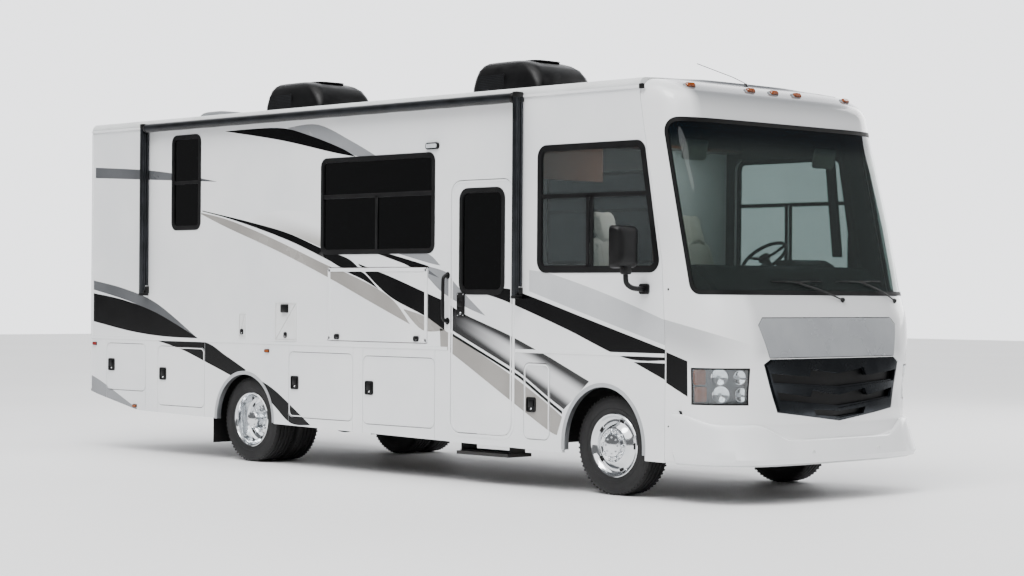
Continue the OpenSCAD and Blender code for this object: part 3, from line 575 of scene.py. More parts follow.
bumperLook = {"ledgeMid": 0.47, "ledgeSide": 0.60, "ledgeDeep": 0.012, "slotLow": 0.435, "slotHigh": 0.462,
    "slotHalf": 0.52, "slotDeep": 0.03}


# how far the bumper is set back at a point: a ledge falling to the middle, and a long slot
def bumperRelief(y, z):
    side = min(abs(y) / 1.05, 1)
    ledge = bumperLook["ledgeMid"] + (bumperLook["ledgeSide"] - bumperLook["ledgeMid"]) * side ** 2
    back = bumperLook["ledgeDeep"] * softStep(ledge - 0.006, ledge + 0.006, z) * (1 - softStep(0.60, 0.72, z))
    inSlot = softStep(bumperLook["slotLow"] - 0.006, bumperLook["slotLow"] + 0.006, z) \
        * (1 - softStep(bumperLook["slotHigh"] - 0.006, bumperLook["slotHigh"] + 0.006, z))
    across = 1 - softStep(bumperLook["slotHalf"] - 0.02, bumperLook["slotHalf"] + 0.02, abs(y))
    return back + bumperLook["slotDeep"] * inSlot * across


def capRow(s, inset):
    z, reach, loss, start, n = capLevelAt(s)
    lift = inset * 1.2 * max(z - cap["liftFrom"], 0) / (roofTop - cap["liftFrom"])
    depth, w = reach - start - inset, halfW - loss - inset
    row = [(frontX + cap["back"], -w, z - lift)]
    for k in range(cap["columns"] + 1):
        a = pi * (k / cap["columns"] - 0.5)
        r = (abs(cos(a)) ** n + abs(sin(a)) ** n) ** (-1 / n)
        y = w * r * sin(a)
        row.append((frontX + start + depth * r * cos(a) - bumperRelief(y, z) * cos(a), y, z - lift))
    row.append((frontX + cap["back"], w, z - lift))
    return row


lowRows = np.linspace(0.0, 0.36, 60)
capRows = np.concatenate([lowRows, np.linspace(0.36, 3.1, 90)[1:], np.linspace(3.1, capLength, 44)[1:]])


# the closed wall between two offsets of the cap's surface
def capShell(outer, inner):
    bm = bmesh.new()
    walls = [[[bm.verts.new(p) for p in capRow(s, inset)] for s in capRows] for inset in (outer, inner)]
    m = len(walls[0][0])
    for w, grid in enumerate(walls):
        for a, b in zip(grid, grid[1:]):
            for k in range(m - 1):
                quad = (a[k], a[k + 1], b[k + 1], b[k])
                bm.faces.new(quad if w == 0 else quad[::-1])
        bm.faces.new(grid[-1] if w == 0 else grid[-1][::-1])
    a, b = walls[0][0], walls[1][0]
    for k in range(m - 1):
        bm.faces.new((a[k + 1], a[k], b[k], b[k + 1]))
    for end, flip in ((0, False), (m - 1, True)):
        for i in range(len(capRows) - 1):
            quad = (walls[0][i][end], walls[0][i + 1][end], walls[1][i + 1][end], walls[1][i][end])
            bm.faces.new(quad[::-1] if flip else quad)
    a, b = walls[0][-1], walls[1][-1]
    bm.faces.new((a[0], a[-1], b[-1], b[0]))
    bmesh.ops.recalc_face_normals(bm, faces=bm.faces)
    mesh = bpy.data.meshes.new("shell")
    bm.to_mesh(mesh)
    bm.free()
    return mesh


def surfaceTree():
    rows = [[Vector(p) for p in capRow(s, 0)] for s in capRows]
    m = len(rows[0])
    points = [p for row in rows for p in row]
    faces = [(i * m + k, i * m + k + 1, (i + 1) * m + k + 1,
        (i + 1) * m + k) for i in range(len(rows) - 1) for k in range(m - 1)]
    mesh = bpy.data.meshes.new("guide")
    mesh.from_pydata(points, [], faces)
    normals = [Vector(v.normal) for v in mesh.vertices]
    bpy.data.meshes.remove(mesh)
    return BVHTree.FromPolygons(points, faces), points, faces, normals


guideTree, guidePoints, guideFaces, guideNormals = surfaceTree()


def guideNormal(point):
    place, _, index, _ = guideTree.find_nearest(point)
    corners = guideFaces[index]
    weights = poly_3d_calc([guidePoints[c] for c in corners], place)
    total = Vector((0, 0, 0))
    for w, c in zip(weights, corners):
        total += w * guideNormals[c]
    return total.normalized()


# shades a cut piece of the cap with the whole surface's normals
def smoothOnCap(made):
    mesh = made.data
    cache = {}
    loops = [None] * len(mesh.loops)
    for face in mesh.polygons:
        for i in face.loop_indices:
            v = mesh.loops[i].vertex_index
            if v not in cache:
                cache[v] = guideNormal(mesh.vertices[v].co)
            n = cache[v]
            side = face.normal.dot(n)
            curved = abs(side) > 0.6 or face.area < 4e-6
            loops[i] = face.normal if not curved else (n if side > 0 else -n)
    mesh.normals_split_custom_set([tuple(n) for n in loops])


far = 2.0


def aheadOfSeam():
    line = [(frontX + x, z) for x, z in seamLine]
    return prismMesh(line + [(frontX + far, 3.5), (frontX + far, 0.2)], "xz", -far, far)


def windshieldTool(grow):
    r = glassSide["radius"] - grow
    low = frontX + glassSide["backLow"] + grow
    high = frontX + glassSide["backHigh"] + grow
    corners = ((high + r, glassSide["high"] - grow - r, 90, 191), (low + r, glassSide["low"] + grow + r, 191,
        270))
    line = [(u + r * cos(radians(a0 + (a1 - a0) * k / 8)),
        w + r * sin(radians(a0 + (a1 - a0) * k / 8))) for u, w, a0, a1 in corners for k in range(9)]
    line += [(frontX + far, glassSide["low"] + grow), (frontX + far, glassSide["high"] - grow)]
    return prismMesh(line, "xz", -far, far)


# a front view outline as a block; grow pushes each point away from the middle of the outline
def frontTool(outline, grow=0.0):
    cy = sum(p[0] for p in outline) / len(outline)
    cz = sum(p[1] for p in outline) / len(outline)
    pushed = [(y + grow * math.copysign(1, y - cy) * (abs(y - cy) > 1e-4), z + grow * math.copysign(1,
        z - cz)) for y, z in outline]
    return prismMesh(pushed, "yz", frontX + 0.9, frontX + far)


def hoodOutline(grow):
    low, high = hoodFace["low"] - grow, hoodFace["high"] + grow
    a, b, c = hoodFace["halfLow"] + grow, hoodFace["halfHigh"] + grow, hoodFace["corner"]
    return [(-a, low), (a, low), (b, high - c), (b - c, high), (-b + c, high), (-b, high - c)]


def lampTool(side, grow):
    y = sorted((side * (lampBox["inner"] + grow), side * (halfW + 0.2)))
    bm = bmesh.new()
    addBox(bm, (frontX + lampBox["back"] + grow, frontX + far), y, (lampBox["low"] + grow,
        lampBox["high"] - grow))
    return meshFrom(bm, "lampTool")


# white gelcoat with a silver brow and silver-white cowl, as sprayed before assembly; the brow's grey is
# deepened and grows darker towards the top as painted shade, and the grey that fades down from the cheek line
# is partly silver paint and partly painted shade
def paintedCap():
    made, tree, shader, where = newMaterial("gelcoatTwoTone", "#f1f2f3", 0.18, IOR=1.5, Coat_Weight=0.5,
        Coat_Roughness=0.05)
    split = addNode(tree, "ShaderNodeSeparateXYZ", {"Vector": where})
    across = addNode(tree, "ShaderNodeMath", {0: split.outputs["Y"]}, operation="ABSOLUTE").outputs["Value"]
    # brow: silver paint whose grey grows darker towards the top, partly paint and partly painted shade
    brow = addNode(tree, "ShaderNodeMapRange", {"Value": split.outputs["Z"], "From Min": 3.085,
        "From Max": 3.35, "To Min": 0.35, "To Max": 1.0}, interpolation_type="SMOOTHSTEP")
    isBrow = addNode(tree, "ShaderNodeMath", {0: split.outputs["Z"], 1: 3.0}, operation="GREATER_THAN")
    browSide = addNode(tree, "ShaderNodeMapRange", {"Value": across, "From Min": 1.02, "From Max": 1.12,
        "To Min": 1.0, "To Max": 0.0})
    browPaintAndShade = addNode(tree, "ShaderNodeMath", {0: brow.outputs["Result"], 1: isBrow.outputs["Value"]},
        operation="MULTIPLY")
    browPaintAndShade = addNode(tree, "ShaderNodeMath", {0: browPaintAndShade.outputs["Value"], 1: browSide.outputs["Result"]},
        operation="MULTIPLY")
    cowl = addNode(tree, "ShaderNodeMapRange", {"Value": across, "From Min": 0.86, "From Max": 1.0,
        "To Min": 0.3, "To Max": 0.0}, interpolation_type="SMOOTHSTEP")
    lowMask = addNode(tree, "ShaderNodeMapRange", {"Value": split.outputs["Z"], "From Min": 1.10,
        "From Max": 1.2})
    highMask = addNode(tree, "ShaderNodeMath", {0: split.outputs["Z"], 1: 1.7}, operation="LESS_THAN")
    cowlMask = addNode(tree, "ShaderNodeMath", {0: cowl.outputs["Result"], 1: lowMask.outputs["Result"]},
        operation="MULTIPLY")
    cowlMask = addNode(tree, "ShaderNodeMath", {0: cowlMask.outputs["Value"], 1: highMask.outputs["Value"]},
        operation="MULTIPLY")
    mask = addNode(tree, "ShaderNodeMath", {0: browPaintAndShade.outputs["Value"], 1: cowlMask.outputs["Value"]},
        operation="ADD")
    # the dark grey #5c5f63 is silver paint deepened to stand in for shade on the brow; the cowl takes a light
    # share of it
    tone = addNode(tree, "ShaderNodeMixRGB", {"Fac": mask.outputs["Value"], "Color1": hexColour("#f2f3f4"),
        "Color2": hexColour("#5c5f63")})
    way = addNode(tree, "ShaderNodeMath", {0: split.outputs["X"], 1: across},
        operation="SUBTRACT").outputs["Value"]
    edge = addNode(tree, "ShaderNodeMath", {0: way, 1: -0.2027, 2: 1.445 + 0.2027 * (frontX + 0.619 - halfW)},
        operation="MULTIPLY_ADD").outputs["Value"]
    below = addNode(tree, "ShaderNodeMath", {0: edge, 1: split.outputs["Z"]},
        operation="SUBTRACT").outputs["Value"]
    crisp = addNode(tree, "ShaderNodeMapRange", {"Value": below, "From Min": 0.0,
        "From Max": 0.004}).outputs["Result"]
    fadeDown = addNode(tree, "ShaderNodeMapRange", {"Value": below, "From Min": 0.08, "From Max": 0.42,
        "To Min": 0.55, "To Max": 0.0}, interpolation_type="SMOOTHSTEP").outputs["Result"]
    fadeOn = addNode(tree, "ShaderNodeMapRange", {"Value": way, "From Min": frontX + 0.62 - halfW + 0.35,
        "From Max": frontX + 0.62 - halfW + 1.0, "To Min": 1.0, "To Max": 0.0},
        interpolation_type="SMOOTHSTEP").outputs["Result"]
    cheekPaintAndShade = addNode(tree, "ShaderNodeMath", {0: crisp, 1: fadeDown}, operation="MULTIPLY").outputs["Value"]
    cheekPaintAndShade = addNode(tree, "ShaderNodeMath", {0: cheekPaintAndShade, 1: fadeOn}, operation="MULTIPLY").outputs["Value"]
    # cheek grey #76797d, fading downwards from a crisp line: partly silver paint, partly painted shade
    swept = addNode(tree, "ShaderNodeMixRGB", {"Fac": cheekPaintAndShade, "Color1": tone.outputs["Color"],
        "Color2": hexColour("#76797d")})
    tree.links.new(swept.outputs["Color"], shader.inputs["Base Color"])
    grained(tree, shader, where, 5, 0.05)
    return made


gelcoatTwoTone = paintedCap()
paintSilver = simpleFinish("paintSilverMetallic", ("#b4b7ba", "#a3a6aa"), (0.22, 0.3), 500, (3, 0.06),
    Metallic=0.35, Coat_Weight=0.5, Coat_Roughness=0.05)


def makeCap():
    gap = hoodFace["gap"]
    shell = cut(capShell(0, cap["thick"]), [aheadOfSeam()], "INTERSECT")
    tools = [windshieldTool(0), frontTool(hoodOutline(gap)), frontTool(grilleFace), lampTool(-1, 0),
        lampTool(1, 0)]
    made = finishPiece(cut(shell, tools), "cap_moulding", "coach", gelcoatTwoTone)
    smoothOnCap(made)
    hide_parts("front_cap")
    glass = cut(cut(capShell(0.002, 0.002 + cap["glass"]), [aheadOfSeam()], "INTERSECT"),
        [windshieldTool(0.03)], "INTERSECT")
    pane = finishPiece(glass, "windshield_glass", "coach", windshieldGlass)
    smoothOnCap(pane)
    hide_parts("windshield")
    ring = cut(cut(capShell(-0.003, 0.014), [windshieldTool(0.002)], "INTERSECT"), [windshieldTool(0.036)])
    seal = finishPiece(ring, "windshield_gasket", "coach", rubberSeal)
    smoothOnCap(seal)
    upper = prismMesh([(frontX + 0.2, 1.5), (frontX + 2, 1.5), (frontX + 2, 3.33), (frontX + 0.2, 3.33)],
        "xz", -1.4, 1.4)
    liner = cut(cut(capShell(cap["thick"] + 0.0015, cap["thick"] + 0.006), [aheadOfSeam()], "INTERSECT"),
        [upper], "INTERSECT")
    smoothOnCap(finishPiece(cut(liner, [windshieldTool(0.004)]), "cap_inner_liner", "coach", dashVinyl))
    lid = finishPiece(cut(capShell(0, cap["thick"]), [frontTool(hoodOutline(0))], "INTERSECT"), "hood_panel",
        "hood", paintSilver)
    smoothOnCap(lid)
    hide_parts("hood")


makeCap()
print("front cap made")


# Each sweep has its finish, upper line and lower line: X and height on the wall's outer face
sweeps = (("dark", ((-4.37, 2.94), (-3.44, 2.88), (-2.81, 2.81), (-2.25, 2.728)),
    ((-4.37, 2.83), (-2.25, 2.726))), ("black", ((-2.11, 3.215), (-1.28, 3.207), (-0.84, 3.124),
    (-0.35, 2.981), (-0.13, 2.891)), ((-2.11, 3.213), (-1.23, 3.087), (-0.45, 2.94), (-0.13, 2.889))),
    ("grey", ((-1.13, 3.20), (-0.67, 3.207), (-0.17, 3.027), (0.18, 2.876)), ((-1.13, 3.198), (-0.54, 3.007),
    (-0.07, 2.886), (0.18, 2.874))), ("black", ((-2.48, 2.447), (-1.73, 2.323), (-1.12, 2.204), (-0.63, 2.06),
    (-0.44, 2.012), (-0.21, 1.951), (-0.07, 1.869)), ((-2.48, 2.439), (-2.05, 2.361), (-1.52, 2.241),
    (-1.02, 2.11), (-0.53, 1.952), (-0.29, 1.867), (-0.07, 1.867))), ("taupe", ((-2.5, 2.425), (-2.05, 2.345),
    (-1.37, 2.161), (-0.53, 1.898), (-0.24, 1.822), (0.2, 1.677), (0.44, 1.558), (0.64, 1.37)),
    ((-2.5, 2.412), (-2.05, 2.265), (-1.27, 2.035), (-0.53, 1.79), (0.11, 1.556), (0.64, 1.366))),
    ("taupe", ((0.56, 1.5), (0.84, 1.437), (1.11, 1.322)), ((0.56, 1.49), (0.81, 1.317), (1.11, 1.318))),
    ("taupe", ((1.04, 1.338), (1.21, 1.275), (1.91, 0.97), (2.37, 0.735), (2.56, 0.625)),
    ((1.05, 1.178), (1.22, 1.109), (1.91, 0.752), (2.38, 0.514), (2.5, 0.47))), ("dark",
    ((-4.39, 1.755), (-3.83, 1.671), (-3.25, 1.524), (-2.57, 1.195)), ((-4.39, 1.659), (-3.71, 1.537),
    (-3.13, 1.376), (-2.57, 1.193))), ("black", ((-4.39, 1.622), (-3.83, 1.553), (-3.24, 1.424),
    (-2.55, 1.189)), ((-4.39, 1.327), (-3.71, 1.235), (-3.13, 1.191), (-2.55, 1.182))),
    ("black", ((-3.21, 1.145), (-2.46, 1.151), (-2.08, 1.022), (-1.76, 0.894)), ((-3.21, 1.141),
    (-2.79, 1.06), (-2.35, 0.935), (-2.03, 0.841), (-1.76, 0.76))), ("black", ((-1.49, 0.786), (-1.25, 0.685),
    (-0.76, 0.404)), ((-1.49, 0.68), (-1.3, 0.559), (-1.05, 0.408), (-0.76, 0.402))),
    ("grey", ((-4.43, 0.765), (-4.18, 0.682), (-3.58, 0.44)), ((-4.43, 0.6), (-3.78, 0.44), (-3.58, 0.438))),
    ("black", ((-0.08, 1.909), (0.09, 1.866)), ((-0.06, 1.89), (0.01, 1.866))), ("black",
    ((-0.23, 1.832), (-0.02, 1.831), (0.2, 1.683)), ((-0.23, 1.83), (0.0, 1.76), (0.2, 1.681))),
    ("black", ((0.02, 1.833), (0.22, 1.831), (0.86, 1.645), (1.1, 1.574)), ((0.02, 1.829), (0.37, 1.609),
    (0.84, 1.442), (1.1, 1.321))), ("black", ((0.16, 2.006), (0.3, 2.003), (0.84, 1.893), (0.89, 1.867)),
    ((0.16, 2.004), (0.53, 1.912), (0.69, 1.866), (0.89, 1.865))), ("dark", ((0.89, 1.848), (1.02, 1.782)),
    ((0.89, 1.814), (1.02, 1.78))), ("grey", ((0.46, 2.001), (0.85, 1.998), (1.04, 1.889)),
    ((0.46, 1.999), (0.89, 1.91), (1.04, 1.887))), ("grey", ((0.85, 1.885), (1.11, 1.831), (1.22, 1.741),
    (1.34, 1.653), (1.62, 1.455)), ((0.85, 1.80), (0.89, 1.775), (1.07, 1.652), (1.39, 1.52), (1.62, 1.453))),
    ("band", ((1.17, 1.542), (1.37, 1.458), (1.91, 1.294), (2.35, 1.136), (2.47, 1.09), (2.87, 0.928)),
    ((1.17, 1.34), (1.24, 1.304), (1.91, 1.034), (2.09, 0.955), (2.37, 0.797), (2.58, 0.688))),
    ("black", ((1.17, 1.305), (1.24, 1.28), (1.91, 1.01), (2.09, 0.933), (2.37, 0.775), (2.56, 0.672)),
    ((1.17, 1.281), (1.24, 1.256), (1.91, 0.987), (2.08, 0.913), (2.37, 0.749), (2.56, 0.646))),
    ("black", ((1.62, 1.65), (1.85, 1.689), (2.13, 1.634), (2.9, 1.424), (3.71, 1.205)),
    ((1.62, 1.638), (1.91, 1.569), (2.6, 1.354), (3.26, 1.133), (3.71, 1.12))), ("black",
    ((3.37, 1.1), (3.71, 1.098)), ((3.37, 1.098), (3.71, 0.965))), ("light", ((2.16, 1.843), (2.46, 1.801),
    (3.1, 1.632), (3.71, 1.438)), ((2.16, 1.665), (2.9, 1.458), (3.71, 1.24))), ("fade",
    ((-1.8, 2.35), (-1.2, 2.42), (-0.61, 2.36)), ((-1.8, 2.337), (-1.12, 2.206), (-0.61, 2.062))),)
capSweep = ((3.72, 1.188), (3.94, 1.122), (3.94, 0.842), (3.72, 0.945))


# black lacquer with a silver glow sprayed along its middle, fading in towards the front
def airbrushedBand():
    made, tree, shader, where = newMaterial("lacquerAirbrushedGlow", "#08080a", 0.18, IOR=1.5,
        Coat_Weight=0.4, Coat_Roughness=0.05)
    split = addNode(tree, "ShaderNodeSeparateXYZ", {"Vector": where})
    along = addNode(tree, "ShaderNodeMath", {0: split.outputs["X"], 1: 1.2},
        operation="SUBTRACT").outputs["Value"]
    bend = addNode(tree, "ShaderNodeMath", {0: along, 1: -0.042, 2: -0.35},
        operation="MULTIPLY_ADD").outputs["Value"]
    centre = addNode(tree, "ShaderNodeMath", {0: along, 1: bend, 2: 1.43},
        operation="MULTIPLY_ADD").outputs["Value"]
    off = addNode(tree, "ShaderNodeMath", {0: split.outputs["Z"], 1: centre},
        operation="SUBTRACT").outputs["Value"]
    off = addNode(tree, "ShaderNodeMath", {0: off}, operation="ABSOLUTE").outputs["Value"]
    half = addNode(tree, "ShaderNodeMath", {0: along, 1: 0.052, 2: 0.075},
        operation="MULTIPLY_ADD").outputs["Value"]
    share = addNode(tree, "ShaderNodeMath", {0: off, 1: half}, operation="DIVIDE").outputs["Value"]
    glow = addNode(tree, "ShaderNodeMapRange", {"Value": share, "From Min": 1.0, "From Max": 0.25},
        interpolation_type="SMOOTHSTEP").outputs["Result"]
    start = addNode(tree, "ShaderNodeMapRange", {"Value": split.outputs["X"], "From Min": 1.15,
        "From Max": 2.1}, interpolation_type="SMOOTHSTEP").outputs["Result"]
    mask = addNode(tree, "ShaderNodeMath", {0: glow, 1: start}, operation="MULTIPLY").outputs["Value"]
    tone = addNode(tree, "ShaderNodeMixRGB", {"Fac": mask, "Color1": hexColour("#08080a"),
        "Color2": hexColour("#d8d9db")})
    tree.links.new(tone.outputs["Color"], shader.inputs["Base Color"])
    grained(tree, shader, where, 5, 0.03)
    return made


# taupe sprayed thin above the long sweep, dissolving into the white
def airbrushedFade():
    made, tree, shader, where = newMaterial("lacquerAirbrushedFade", "#f2f3f4", 0.18, IOR=1.5,
        Coat_Weight=0.4)
    split = addNode(tree, "ShaderNodeSeparateXYZ", {"Vector": where})
    line = addNode(tree, "ShaderNodeMath", {0: split.outputs["X"], 1: -0.232, 2: 1.925},
        operation="MULTIPLY_ADD")
    off = addNode(tree, "ShaderNodeMath", {0: split.outputs["Z"], 1: line.outputs["Value"]},
        operation="SUBTRACT")
    up = addNode(tree, "ShaderNodeMapRange", {"Value": off.outputs["Value"], "From Min": 0.0, "From Max": 0.2,
        "To Min": 0.75, "To Max": 0.0}, interpolation_type="SMOOTHSTEP")
    start = addNode(tree, "ShaderNodeMapRange", {"Value": split.outputs["X"], "From Min": -1.75,
        "From Max": -0.8})
    mask = addNode(tree, "ShaderNodeMath", {0: up.outputs["Result"], 1: start.outputs["Result"]},
        operation="MULTIPLY")
    tone = addNode(tree, "ShaderNodeMixRGB", {"Fac": mask.outputs["Value"], "Color1": hexColour("#f2f3f4"),
        "Color2": hexColour("#8f8a83")})
    tree.links.new(tone.outputs["Color"], shader.inputs["Base Color"])
    grained(tree, shader, where, 5, 0.03)
    return made


sweepFinish = {"black": vinylBlack, "dark": vinylDarkGrey, "grey": simpleFinish("vinylMidGreyGloss",
    ("#838588", "#8e9093"), (0.2, 0.28), 600, (4, 0.03), IOR=1.5), "taupe": vinylTaupe,
    "light": vinylLightGrey, "band": airbrushedBand(), "fade": airbrushedFade()}
sweepLayer = {"fade": 0.0004, "light": 0.0005, "taupe": 0.0006, "grey": 0.0007, "dark": 0.0008,
    "band": 0.0009, "black": 0.0010}
sidePanels = {-1: (("side_wall_right", "coach", halfW), ("skirt_right", "coach", halfW),
    ("entry_door", "entry_door", halfW), ("galley_door", "galley_door", halfW), ("utility_door",
    "utility_door", halfW), *[(f"bay_door_right_{i}", f"bay_door_right_{i}", halfW) for i in (1, 2, 3, 4)]),
    1: (("side_wall_left", "coach", halfW), ("skirt_left", "coach", halfW), ("slide_out_room", "slide_out",
    slideHigh.y), *[(f"bay_door_left_{i}", f"bay_door_left_{i}", halfW) for i in (1, 2, 3)])}


def makeSweeps():
    outlines = []
    for finish, top, low in sweeps:
        line = smoothLine(top) + smoothLine(low)[::-1]
        clean = [p for i, p in enumerate(line) if math.dist(p, line[i - 1]) > 1e-4]
        outlines.append((finish, clean, min(p[0] for p in clean), max(p[0] for p in clean),
            min(p[1] for p in clean), max(p[1] for p in clean)))
    for side, panels in sidePanels.items():
        for node, body, face in panels:
            low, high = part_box(node)
            found = {}
            for finish, line, x0, x1, z0, z1 in outlines:
                if x0 > high.x or x1 < low.x or z0 > high.z or z1 < low.z:
                    continue
                ends = sorted((side * (face - 0.001), side * (face + 0.0005)))
                part = cut(prismMesh(line, "xz", *ends), [joinedCopy(node)], "INTERSECT")
                if len(part.polygons):
                    part.transform(Matrix.Translation((0, side * sweepLayer[finish], 0)))
                    found.setdefault(finish, []).append(part)
            for finish, parts in found.items():
                bm = bmesh.new()
                for part in parts:
                    bm.from_mesh(part)
                finishPiece(bm, f"sweep_{finish}_{node}", body, sweepFinish[finish], angle=20)
    for side, name in ((-1, "right"), (1, "left")):
        ends = sorted((side * 0.9, side * (halfW + 0.1)))
        skin = cut(cut(capShell(-0.0008, 0.0006), [aheadOfSeam()], "INTERSECT"),
            [prismMesh([(x, z) for x, z in capSweep], "xz", *ends)], "INTERSECT")
        smoothOnCap(finishPiece(skin, f"sweep_black_cap_{name}", "coach", vinylBlack))


makeSweeps()
print("sweeps made")

smokedChrome = simpleFinish("chromeSmokedSatin", ("#404347", "#34373a"), (0.18, 0.28), 160, (8, 0.05),
    Metallic=1.0)
grilleGaps = (((-0.79, 1.028), (-0.36, 0.998), (-0.33, 1.052), (0, 1.015), (0.33, 1.052), (0.36, 0.998),
    (0.79, 1.028), (0.765, 0.955), (0, 0.915), (-0.765, 0.955)), ((-0.73, 0.88), (-0.36, 0.838),
    (-0.33, 0.885), (0, 0.845), (0.33, 0.885), (0.36, 0.838), (0.73, 0.88), (0.70, 0.815), (0, 0.757),
    (-0.70, 0.815)), ((-0.33, 0.735), (0, 0.715), (0.33, 0.735), (0.30, 0.69), (0, 0.668), (-0.30, 0.69)))


def shrunk(outline, share_y, share_z):
    cy = sum(p[0] for p in outline) / len(outline)
    cz = sum(p[1] for p in outline) / len(outline)
    return [(cy + (y - cy) * share_y, cz + (z - cz) * share_z) for y, z in outline]


def makeGrille():
    rim = [(y * 0.996, z) for y, z in grilleFace]
    plate = cut(capShell(0.006, 0.03), [prismMesh(rim, "yz", frontX + 0.9, frontX + far)], "INTERSECT")
    plate = cut(plate, [prismMesh(gap, "yz", frontX + 0.9, frontX + far) for gap in grilleGaps])
    made = finishPiece(plate, "grille_plate", "coach", smokedChrome, angle=25)
    smoothOnCap(made)
    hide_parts("grille")
    raised = cut(capShell(-0.008, 0.008), [prismMesh(shrunk(rim, 0.975, 0.95), "yz", frontX + 0.9,
        frontX + far)], "INTERSECT")
    raised = cut(raised, [prismMesh(shrunk(gap, 1.02, 1.22), "yz", frontX + 0.9,
        frontX + far) for gap in grilleGaps])
    smoothOnCap(finishPiece(raised, "grille_bars", "coach", smokedChrome, angle=25))
    # a flat black sheet behind the grille slots: painted shade, so that the gaps read dark
    back = cut(capShell(0.036, 0.046), [prismMesh(shrunk(rim, 0.985, 0.97), "yz", frontX + 0.9,
        frontX + far)], "INTERSECT")
    smoothOnCap(finishPiece(back, "grille_mesh_backing", "coach", absBlack, angle=25))


def capAngle(a, z, inset=0.0):
    low, high = 0.0, capLength
    for _ in range(40):
        half = (low + high) / 2
        if capLevelAt(half)[0] < z:
            low = half
        else:
            high = half
    _, reach, loss, start, n = capLevelAt(low)
    r = (abs(cos(a)) ** n + abs(sin(a)) ** n) ** (-1 / n)
    return Vector((frontX + start + (reach - start - inset) * r * cos(a), (halfW - loss - inset) * r * sin(a),
        z))


# the cap's surface point at a distance across and a height
def capAt(y, z, inset=0.0):
    low, high = 0.0, pi / 2
    for _ in range(40):
        half = (low + high) / 2
        if capAngle(half, z, inset).y < abs(y):
            low = half
        else:
            high = half
    spot = capAngle(low, z, inset)
    return Vector((spot.x, math.copysign(spot.y, y), z))


# a matrix that puts local Z along outward at the point
def facing(point, outward, up=Vector((0, 0, 1))):
    z = Vector(outward).normalized()
    x = up.cross(z).normalized()
    return Matrix.Translation(point) @ Matrix((x, z.cross(x), z)).transposed().to_4x4()


lampLook = {"frame": 0.013, "rows": (0.862, 0.998), "amber": (0.048, 0.058), "bowls": ((0.80, 0.056),
    (0.95, 0.068)), "amberAngle": 1.13}


def makeLamps():
    for side, name in ((-1, "right"), (1, "left")):
        shell = capShell(0.0, 0.02)
        rim = cut(cut(shell, [lampTool(side, 0.001)], "INTERSECT"), [lampTool(side, lampLook["frame"])])
        made = finishPiece(rim, f"headlamp_bezel_{name}", "coach", absBlack)
        smoothOnCap(made)
        if side < 0:
            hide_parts("headlights")
        pane = finishPiece(cut(capShell(0.001, 0.004), [lampTool(side, 0.006)], "INTERSECT"),
            f"headlamp_lens_{name}", "coach", headlampCover)
        smoothOnCap(pane)
        tub = finishPiece(cut(capShell(0.036, 0.046), [lampTool(side, 0.002)], "INTERSECT"),
            f"headlamp_tub_{name}", "coach", smokedChrome)
        smoothOnCap(tub)
        bowls, bulbs, ambers, ribs = bmesh.new(), bmesh.new(), bmesh.new(), bmesh.new()
        for z in lampLook["rows"]:
            for angle, r in lampLook["bowls"]:
                spot = capAngle(side * angle, z, 0.036)
                turn = facing(spot, Vector((1, side * (0.35 if angle < 0.9 else 0.75), 0)))
                profile = [(0.006, -0.004), (r * 0.4, 0.0), (r * 0.68, 0.007), (r * 0.94, 0.02), (r, 0.024),
                    (r * 0.92, 0.024), (r * 0.6, 0.012), (0.006, 0.002)]
                part = bmesh.new()
                addLathe(part, profile, (0, 0, 0), (0, 0, 1), 40, closed=True)
                bmesh.ops.transform(part, matrix=turn, verts=part.verts)
                addInto(bowls, part)
                part = bmesh.new()
                addLathe(part, [(0, 0.018), (0.007, 0.017), (0.011, 0.012), (0.011, 0.0), (0, 0.0)],
                    (0, 0, 0), (0, 0, 1), 24)
                bmesh.ops.transform(part, matrix=turn, verts=part.verts)
                addInto(bulbs, part)
            spot = capAngle(side * lampLook["amberAngle"], z, 0.022)
            turn = facing(spot, Vector((0.62, side, 0)))
            w, h = lampLook["amber"]
            part = bmesh.new()
            addPrism(part, roundedBox(-w, w, -h, h, 0.016), "xy", -0.006, 0.004)
            bmesh.ops.transform(part, matrix=turn, verts=part.verts)
            addInto(ambers, part)
            for k in range(-3, 4):
                part = bmesh.new()
                addTube(part, [(k * 0.0115, -h * 0.86, 0.005), (k * 0.0115, h * 0.86, 0.005)], 0.0035, 8)
                bmesh.ops.transform(part, matrix=turn, verts=part.verts)
                addInto(ribs, part)
        finishPiece(bowls, f"headlamp_bowls_{name}", "coach", chrome)
        finishPiece(bulbs, f"headlamp_bulbs_{name}", "coach", clearLens)
        finishPiece(ambers, f"headlamp_amber_{name}", "coach", amberLens)
        finishPiece(ribs, f"headlamp_amber_ribs_{name}", "coach", amberLens)


# moves another sketch's faces into bm
def addInto(bm, part):
    mesh = bpy.data.meshes.new("part")
    part.to_mesh(mesh)
    part.free()
    bm.from_mesh(mesh)
    bpy.data.meshes.remove(mesh)


headlampCover = glassFinish("polycarbonateClearCover", "#f4f8fa", 0.97, 0.03)
makeGrille()
makeLamps()
print("grille and headlamps made")

wheelLook = {"tyreHalf": 0.1225, "beadR": 0.247, "grooveDeep": 0.011, "grooveHalf": 0.006,
    "grooves": (-0.062, -0.022, 0.022, 0.062), "shoulderBlocks": 64, "lugs": (10, 8), "holes": (5, 8),
    "hubBolts": 8, "lipR": 0.262}
treadRubber = simpleFinish("tyreRubberTread", ("#1b1b1b", "#2a2928"), (0.75, 0.9), 60, (3, 0.5), IOR=1.5)


